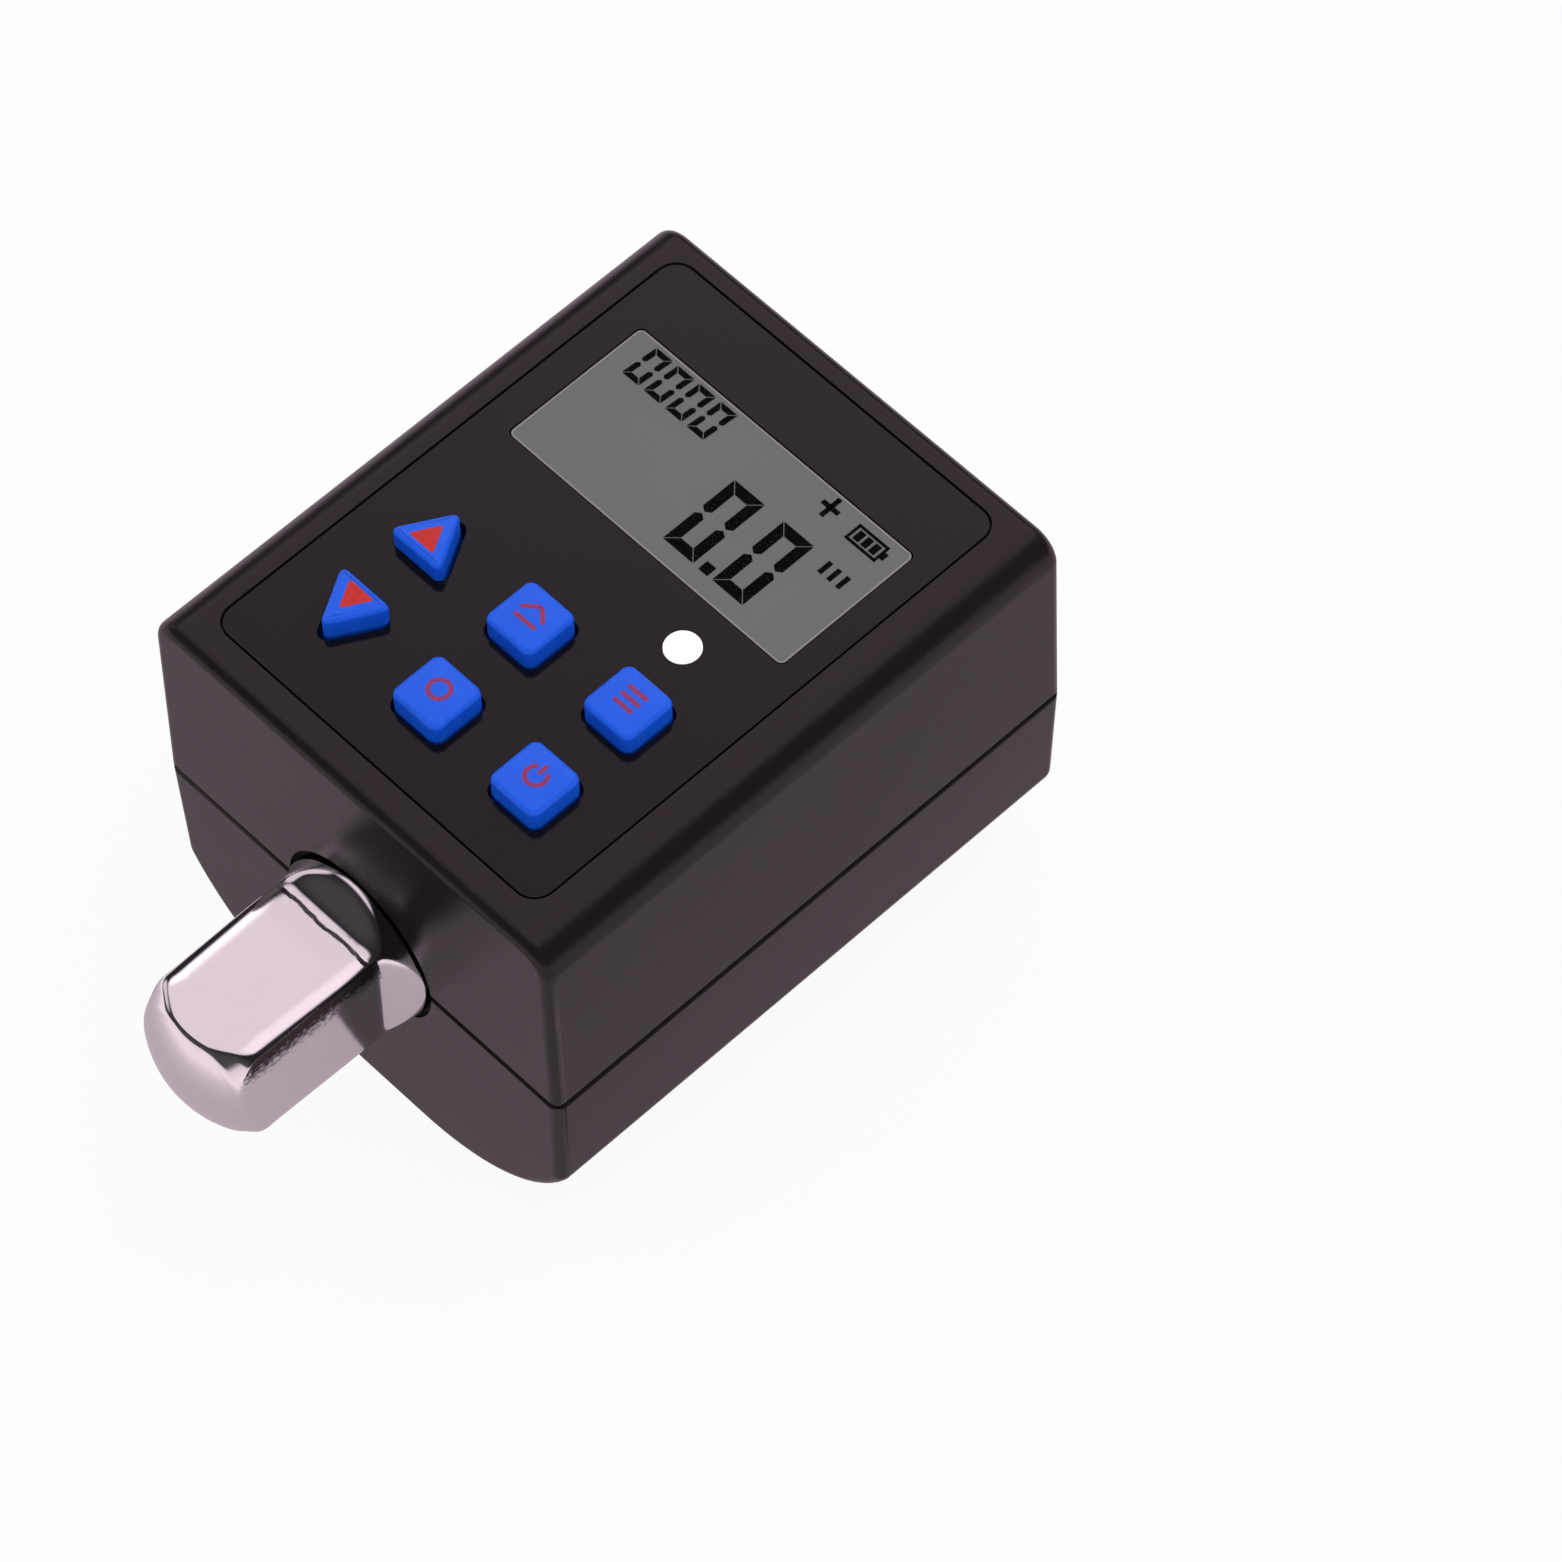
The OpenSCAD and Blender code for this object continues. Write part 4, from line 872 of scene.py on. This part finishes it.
class DriveSettings(bpy.types.PropertyGroup):
    across: FloatProperty(
        name="Across flats", description="Width of the male square", default=12.6 * MM, unit="LENGTH")
    socket: FloatProperty(
        name="Socket", description="Width of the square socket across its flats", default=12.9 * MM,
        unit="LENGTH")
    socket_depth: FloatProperty(
        name="Socket depth", description="Depth of the square socket", default=17.06 * MM, unit="LENGTH")
    mouth: FloatProperty(
        name="Mouth", description="Radius of the socket's lead-in cone", default=9.65 * MM, unit="LENGTH")
    edge: FloatProperty(
        name="Edge", description="Rounding of the flats' edges", default=1 * MM, unit="LENGTH")
    run_out: FloatProperty(
        name="Run-out", description="Curve of the upper and lower flats towards the ramp, per millimetre",
        default=0.0125, min=0)
    shoulder: FloatProperty(
        name="Shoulder", description="Rounding where the ramps begin", default=0.8 * MM, unit="LENGTH")
    step: FloatProperty(
        name="Step", description="Spacing of the rings along the shaft", default=0.16 * MM, unit="LENGTH")
    turns: IntProperty(name="Turns", description="Faces round the shaft", default=400, min=64, max=720)
    colour: FloatVectorProperty(
        name="Chrome colour", description="Tint of the plating", subtype="COLOR",
        default=(0.72, 0.72, 0.72), min=0, max=1)
    roughness: FloatProperty(
        name="Chrome roughness", description="Roughness of the plating", default=0.09, min=0, max=1)
    waviness: FloatProperty(
        name="Waviness", description="Height of the plating's waviness", default=0.012 * MM, unit="LENGTH")
    cutter_mark: FloatProperty(
        name="Cutter mark", description="Depth of the cutter's mark, in heights of the waviness", default=1.6,
        min=0)


class KeySettings(bpy.types.PropertyGroup):
    corner: FloatProperty(
        name="Corner", description="Radius of a square key's corners", default=0.9 * MM, unit="LENGTH")
    top_edge: FloatProperty(
        name="Top edge", description="Radius round the top of a key", default=0.5 * MM, unit="LENGTH")
    ink: FloatProperty(name="Ink", description="Thickness of the print", default=0.012 * MM, unit="LENGTH")
    colour: FloatVectorProperty(
        name="Key colour", description="Colour of the keys", subtype="COLOR",
        default=(0.008, 0.115, 0.84), min=0, max=1)
    arrow_print: FloatVectorProperty(
        name="Arrow print", description="Ink on the arrow keys", subtype="COLOR",
        default=(0.6, 0.015, 0.01), min=0, max=1)
    sign_print: FloatVectorProperty(
        name="Sign print", description="Ink on the square keys", subtype="COLOR",
        default=(0.38, 0.03, 0.10), min=0, max=1)


class DisplaySettings(bpy.types.PropertyGroup):
    colour: FloatVectorProperty(
        name="Display colour", description="Colour of the unlit display", subtype="COLOR",
        default=(0.175, 0.168, 0.172), min=0, max=1)
    depth: FloatProperty(
        name="Depth", description="Depth of the display's film under the window's face", default=0.08 * MM,
        unit="LENGTH")
    ink: FloatProperty(
        name="Segment height", description="Height of a driven segment", default=0.012 * MM, unit="LENGTH")
    # Painted highlight: the pale line round the window stands in for light caught on the lens's chamfered
    # edge.
    rim_highlight: FloatProperty(
        name="Border", description="Width of the pale line round the window", default=0.16 * MM,
        unit="LENGTH")


class StudioSettings(bpy.types.PropertyGroup):
    azimuth: FloatProperty(
        name="Azimuth", description="Camera's turn to the right of the drive axis", default=radians(47.41),
        subtype="ANGLE")
    elevation: FloatProperty(
        name="Elevation", description="Camera's height as an angle", default=radians(57.39), subtype="ANGLE")
    roll: FloatProperty(name="Roll", description="Camera's roll", default=radians(-1.78), subtype="ANGLE")
    lens: FloatProperty(
        name="Lens", description="Focal length in millimetres on a 36 mm sensor", default=177.55)
    camera_place: FloatVectorProperty(
        name="Camera place", description="From the middle of the top front edge", subtype="TRANSLATION",
        default=(282.413 * MM, -209.498 * MM, 546.026 * MM))
    floor_colour: FloatVectorProperty(
        name="Floor colour", description="Colour of the floor", subtype="COLOR",
        default=(0.9, 0.9, 0.9), min=0, max=1)
    floor_gloss: FloatProperty(
        name="Floor in gloss", description="Level that gloss sees in the floor", default=0.58, min=0)
    floor_far: FloatProperty(
        name="Far floor in gloss", description="Level that gloss sees in the floor further off", default=1.25,
        min=0)
    floor_tint: FloatVectorProperty(
        name="Floor tint", description="Colour of the floor in gloss", subtype="COLOR",
        default=(1, 0.79, 0.925), min=0, max=1)
    gloss_tint: FloatVectorProperty(
        name="Gloss tint", description="Tint of what gloss sees", subtype="COLOR",
        default=(1, 0.83, 0.943), min=0, max=1)
    sky: FloatProperty(
        name="Sky", description="Strength of the matt light from the horizon", default=1.1, min=0)
    zenith_fall: FloatProperty(
        name="Zenith fall", description="Share of the matt light that is missing overhead", default=0.5,
        min=0, max=1)
    wall: FloatProperty(
        name="Wall", description="Level that gloss sees in the dark walls", default=0.025, min=0)
    strip_glow: FloatProperty(
        name="Strip glow", description="Extra level that gloss sees in the overhead strip", default=0.3,
        min=0)
    rear_glow: FloatProperty(
        name="Rear glow", description="Extra level that gloss sees towards the rear", default=0.9, min=0)
    softbox: FloatProperty(
        name="Softbox", description="Power of the overhead softbox in watts", default=1.8, min=0)


# Operators

class ADAPTER_OT_case(bpy.types.Operator):
    """Both shells and the battery door, with even shading"""
    bl_idname = "adapter.case"
    bl_label = "Case"

    def execute(self, context):
        settings = context.scene.adapter_case
        material = case_plastic(settings)
        for node, name, body, gap in (("upper_case", "top_shell", "case", settings.seam_gap / 2),
                                      ("lower_case", "bottom_shell", "case", -settings.seam_gap / 2),
                                      ("battery_door", "belly_door", "battery_door_body", 0)):
            shape = node_copy(node)
            open_seam(shape, gap)
            piece = add_piece(name, shape, body, material, (node,), even=True)
            soften_edges(piece, settings.soft_edge)
        return {"FINISHED"}


class ADAPTER_OT_panel(bpy.types.Operator):
    """Inset face panel with softened edges"""
    bl_idname = "adapter.panel"
    bl_label = "Face panel"

    def execute(self, context):
        material = panel_film(context.scene.adapter_case)
        piece = add_piece("face_film", node_copy("face_panel"), "case", material,
                          ("face_panel",), even=True)
        soften_edges(piece, width=0.08 * MM)
        return {"FINISHED"}


class ADAPTER_OT_drive(bpy.types.Operator):
    """Drive shaft: pressed male square, socket hub and detent ball"""
    bl_idname = "adapter.drive"
    bl_label = "Drive shaft"

    def execute(self, context):
        settings = context.scene.adapter_drive
        material = polished_chrome(settings)
        piece = add_piece("drive_square", make_drive_square(settings), "case", material,
                          ("torque_shaft",), sharp=60)
        ball = box_centre("detent_ball", SEAM - settings.across / 2)
        cut_away(piece, bore_cutter(ball, radius=1.85 * MM, lip=0.12 * MM, depth=5 * MM), sharp=60)
        piece = add_piece("socket_hub", make_hub(), "case", material, ("torque_shaft",))
        for cutter in socket_cutters(settings.socket / 2, settings.socket_depth, settings.mouth):
            cut_away(piece, cutter, sharp=25)
        clear_slivers(piece, least=0.03 * MM, sharp=25)
        finish_node("detent_ball", material)
        return {"FINISHED"}


class ADAPTER_OT_keys(bpy.types.Operator):
    """Six blue keys and the print on them"""
    bl_idname = "adapter.keys"
    bl_label = "Keys"

    def execute(self, context):
        settings = context.scene.adapter_keys
        plastic = key_plastic(settings.colour)
        arrow_ink = key_print("arrow ink", settings.arrow_print, 1)
        sign_ink = key_print("sign ink", settings.sign_print, 0.8)
        for name in KEYS:
            body = "key_" + name + "_body"
            add_piece("blue_key_" + name, make_key(name, settings), body, plastic,
                      ("key_" + name,), sharp=50)
            ink = arrow_ink if name in ARROWS else sign_ink
            add_piece("print_" + name, make_mark(name, settings), body, ink)
        return {"FINISHED"}


class ADAPTER_OT_display(bpy.types.Operator):
    """Display film, its digits, a painted highlight round the window, and the lens"""
    bl_idname = "adapter.display"
    bl_label = "Display"

    def execute(self, context):
        settings = context.scene.adapter_display
        face = display_face(settings.colour)
        finish_node("display_glass", face)
        finish_node("window_lens", clear_lens())
        black = flat_ink("display ink", 1.2 * MM, (0.0008, 0.0008, 0.0008), (0.003, 0.003, 0.003), 0.5,
                         IOR=1.3, Specular_IOR_Level=0.03)
        # Painted highlight: pale ink round the window in place of light on the lens's chamfered edge.
        pale = flat_ink("window border", 3 * MM, (0.24, 0.235, 0.24), (0.3, 0.29, 0.295), 0.4, IOR=1.4)
        add_piece("display_film", make_display_film(settings), "case", face)
        add_piece("display_digits", make_digits(settings), "case", black)
        add_piece("painted_window_rim", make_painted_rim_highlight(settings), "case", pale)
        return {"FINISHED"}


class ADAPTER_OT_lamp(bpy.types.Operator):
    """White indicator lamp"""
    bl_idname = "adapter.lamp"
    bl_label = "Lamp"

    def execute(self, context):
        add_piece("white_lamp", make_lamp(), "case", lamp_white(), ("indicator_lamp",),
                  sharp=40)
        return {"FINISHED"}


class ADAPTER_OT_insides(bpy.types.Operator):
    """Finishes of the board, the mat, the bushes and the other inner nodes"""
    bl_idname = "adapter.insides"
    bl_label = "Insides"

    def execute(self, context):
        finishes = {
            circuit_board(): ["main_board"],
            moulded("chip plastic", (0.03, 0.03, 0.03), 0.5): ["board_chips", "buzzer"],
            moulded("acetal", (0.75, 0.74, 0.7), 0.35): ["front_bush", "rear_bush", "display_frame"],
            moulded("carbon rubber", (0.02, 0.02, 0.02), 0.7):
                ["contact_strips"] + ["pad_" + key for key in KEYS],
            moulded("blue rubber", (0.05, 0.14, 0.55), 0.5): ["keypad_mat"] + ["dome_" + key for key in KEYS],
            moulded("wire sleeve", (0.5, 0.02, 0.015), 0.35): ["gauge_wires", "battery_wires"],
            plain_steel("spring steel", (0.5, 0.5, 0.52), 0.3):
                ["retaining_ring", "locating_pin", "detent_spring"],
            plain_steel("zinc plate", (0.55, 0.56, 0.58), 0.32): ["case_screws", "board_screws"],
            plain_steel("nickel plate", (0.66, 0.63, 0.56), 0.25): ["contact_plates", "contact_springs"],
            gauge_film(): ["strain_gauges"],
            cell_jacket(): ["battery_cells"],
        }
        for material, nodes in finishes.items():
            for node in nodes:
                finish_node(node, material)
        return {"FINISHED"}


def ray_kinds(finish):
    """Which rays meet the stage: the camera's own or those through the window, and those off gloss."""
    path = finish.nodes.new("ShaderNodeLightPath")
    camera, gloss, clear = (Value(finish, path.outputs["Is %s Ray" % kind])
                            for kind in ("Camera", "Glossy", "Transmission"))
    return finish.math("MAXIMUM", camera, clear), gloss


def floor_material(settings):
    """Floor that is white to the camera; gloss sees it greyer near the object, where its shade lies."""
    finish = Finish(bpy.data.materials.new("floor"))
    finish.nodes.clear()
    seen, gloss = ray_kinds(finish)
    place = finish.node("TexCoord", output=3)
    distance = finish.node("VectorMath", {0: place}, {"operation": "LENGTH"}, output=1)
    far = finish.soft_step(distance, 50 * MM, 190 * MM)
    level = settings.floor_gloss + far * (settings.floor_far - settings.floor_gloss)
    matt = finish.node("BsdfDiffuse", {"Color": settings.floor_colour})
    glow = finish.node("Emission", {"Color": finish.blend(gloss, (1, 1, 1), settings.floor_tint),
                                            "Strength": seen + gloss * level})
    share = finish.math("MAXIMUM", seen * 0.93, gloss * 0.85)
    mixed = finish.node("MixShader", {0: share, 1: matt, 2: glow})
    finish.node("OutputMaterial", {"Surface": mixed})
    return finish.owner


def set_sky(settings):
    """White surround for the camera, a softbox between dark walls for gloss, and soft matt light."""
    world = bpy.data.worlds.new("studio")
    bpy.context.scene.world = world
    finish = Finish(world)
    finish.nodes.clear()
    seen, gloss = ray_kinds(finish)
    way = finish.node("TexCoord")

    def towards(x, y, z):
        return finish.node("VectorMath", {0: way, 1: (x, y, z)}, {"operation": "DOT_PRODUCT"}, output=1)

    up = towards(0, 0, 1)
    overhead = finish.soft_step(towards(-0.3, 0.3, 0.9), 0.8, 0.9)
    rear = finish.soft_step(towards(-0.364, 0.763, -0.532), -0.06, 0.08)
    side = finish.soft_step(towards(-0.875, -0.135, 0.465), 0.955, 0.985)
    wall = settings.wall * (1 + 2 * finish.soft_step(towards(0, -1, 0), 0.2, 0.8)) + side * 0.9
    wall = wall + finish.soft_step(up, 0.2, 0.08)
    strip = finish.soft_step(towards(-0.02, 0.38, 0.925), 0.94, 0.99)
    shown = wall + overhead * (1.0 + rear * settings.rear_glow) + strip * settings.strip_glow
    matt = settings.sky * (1 - settings.zenith_fall * up)
    level = seen + (1 - seen) * (gloss * shown + (1 - gloss) * matt)
    glow = finish.node("Background", {"Color": finish.blend(gloss, (1, 1, 1), settings.gloss_tint),
                                              "Strength": level})
    finish.node("OutputWorld", {"Surface": glow})


class ADAPTER_OT_stage(bpy.types.Operator):
    """Floor, surround, softbox and camera"""
    bl_idname = "adapter.stage"
    bl_label = "Studio"

    def execute(self, context):
        scene = context.scene
        settings = scene.adapter_studio
        floor_reach = 2.5
        lamp_size, lamp_place, lamp_aim = 0.5, Vector((0.12, 0.18, 0.75)), Vector((0, 0, 0.03))
        shape = bmesh.new()
        bmesh.ops.create_grid(shape, x_segments=1, y_segments=1, size=floor_reach)
        floor = add_object("studio_floor", shape)
        floor.data.materials.append(floor_material(settings))
        set_sky(settings)

        light = bpy.data.lights.new("softbox", "AREA")
        light.shape = "SQUARE"
        light.size = lamp_size
        light.energy = settings.softbox
        lamp = bpy.data.objects.new("softbox", light)
        lamp.location = lamp_place
        lamp.rotation_euler = (lamp_aim - lamp_place).to_track_quat("-Z", "Y").to_euler()
        lamp.visible_glossy = False
        scene.collection.objects.link(lamp)

        view = Vector((sin(settings.azimuth) * cos(settings.elevation),
                       -cos(settings.azimuth) * cos(settings.elevation), sin(settings.elevation)))
        right = Vector((cos(settings.azimuth), sin(settings.azimuth), 0))
        level = Matrix((right, view.cross(right), view)).transposed().to_4x4()
        turn = level @ Matrix.Rotation(settings.roll, 4, "Z")
        camera = bpy.data.cameras.new("camera")
        camera.lens = settings.lens
        camera.sensor_width = 36
        camera.clip_start = 0.01
        camera.clip_end = 20
        eye = bpy.data.objects.new("camera", camera)
        place = Vector((0, FRONT, TOP)) + Vector(settings.camera_place)
        eye.matrix_world = Matrix.Translation(place) @ turn
        scene.collection.objects.link(eye)
        scene.camera = eye
        scene.view_settings.view_transform = "Standard"
        return {"FINISHED"}


class ADAPTER_PT_panel(bpy.types.Panel):
    """Sidebar panel that lists the adapter's pieces"""
    bl_label = "Torque adapter"
    bl_idname = "ADAPTER_PT_panel"
    bl_space_type = "VIEW_3D"
    bl_region_type = "UI"
    bl_category = "Torque adapter"

    def draw(self, context):
        for operator in STEPS:
            self.layout.operator(operator.bl_idname)


STEPS = (ADAPTER_OT_case, ADAPTER_OT_panel, ADAPTER_OT_drive, ADAPTER_OT_keys, ADAPTER_OT_display,
         ADAPTER_OT_lamp, ADAPTER_OT_insides, ADAPTER_OT_stage)
GROUPS = {"adapter_case": CaseSettings, "adapter_drive": DriveSettings, "adapter_keys": KeySettings,
          "adapter_display": DisplaySettings, "adapter_studio": StudioSettings}
CLASSES = (*GROUPS.values(), *STEPS, ADAPTER_PT_panel)


def register():
    for kind in CLASSES:
        bpy.utils.register_class(kind)
    for name, group in GROUPS.items():
        setattr(bpy.types.Scene, name, PointerProperty(type=group))


def unregister():
    for name in GROUPS:
        delattr(bpy.types.Scene, name)
    for kind in reversed(CLASSES):
        bpy.utils.unregister_class(kind)


def main():
    register()
    for operator in STEPS:
        group, name = operator.bl_idname.split(".")
        getattr(getattr(bpy.ops, group), name)()


if __name__ == "__main__":
    main()
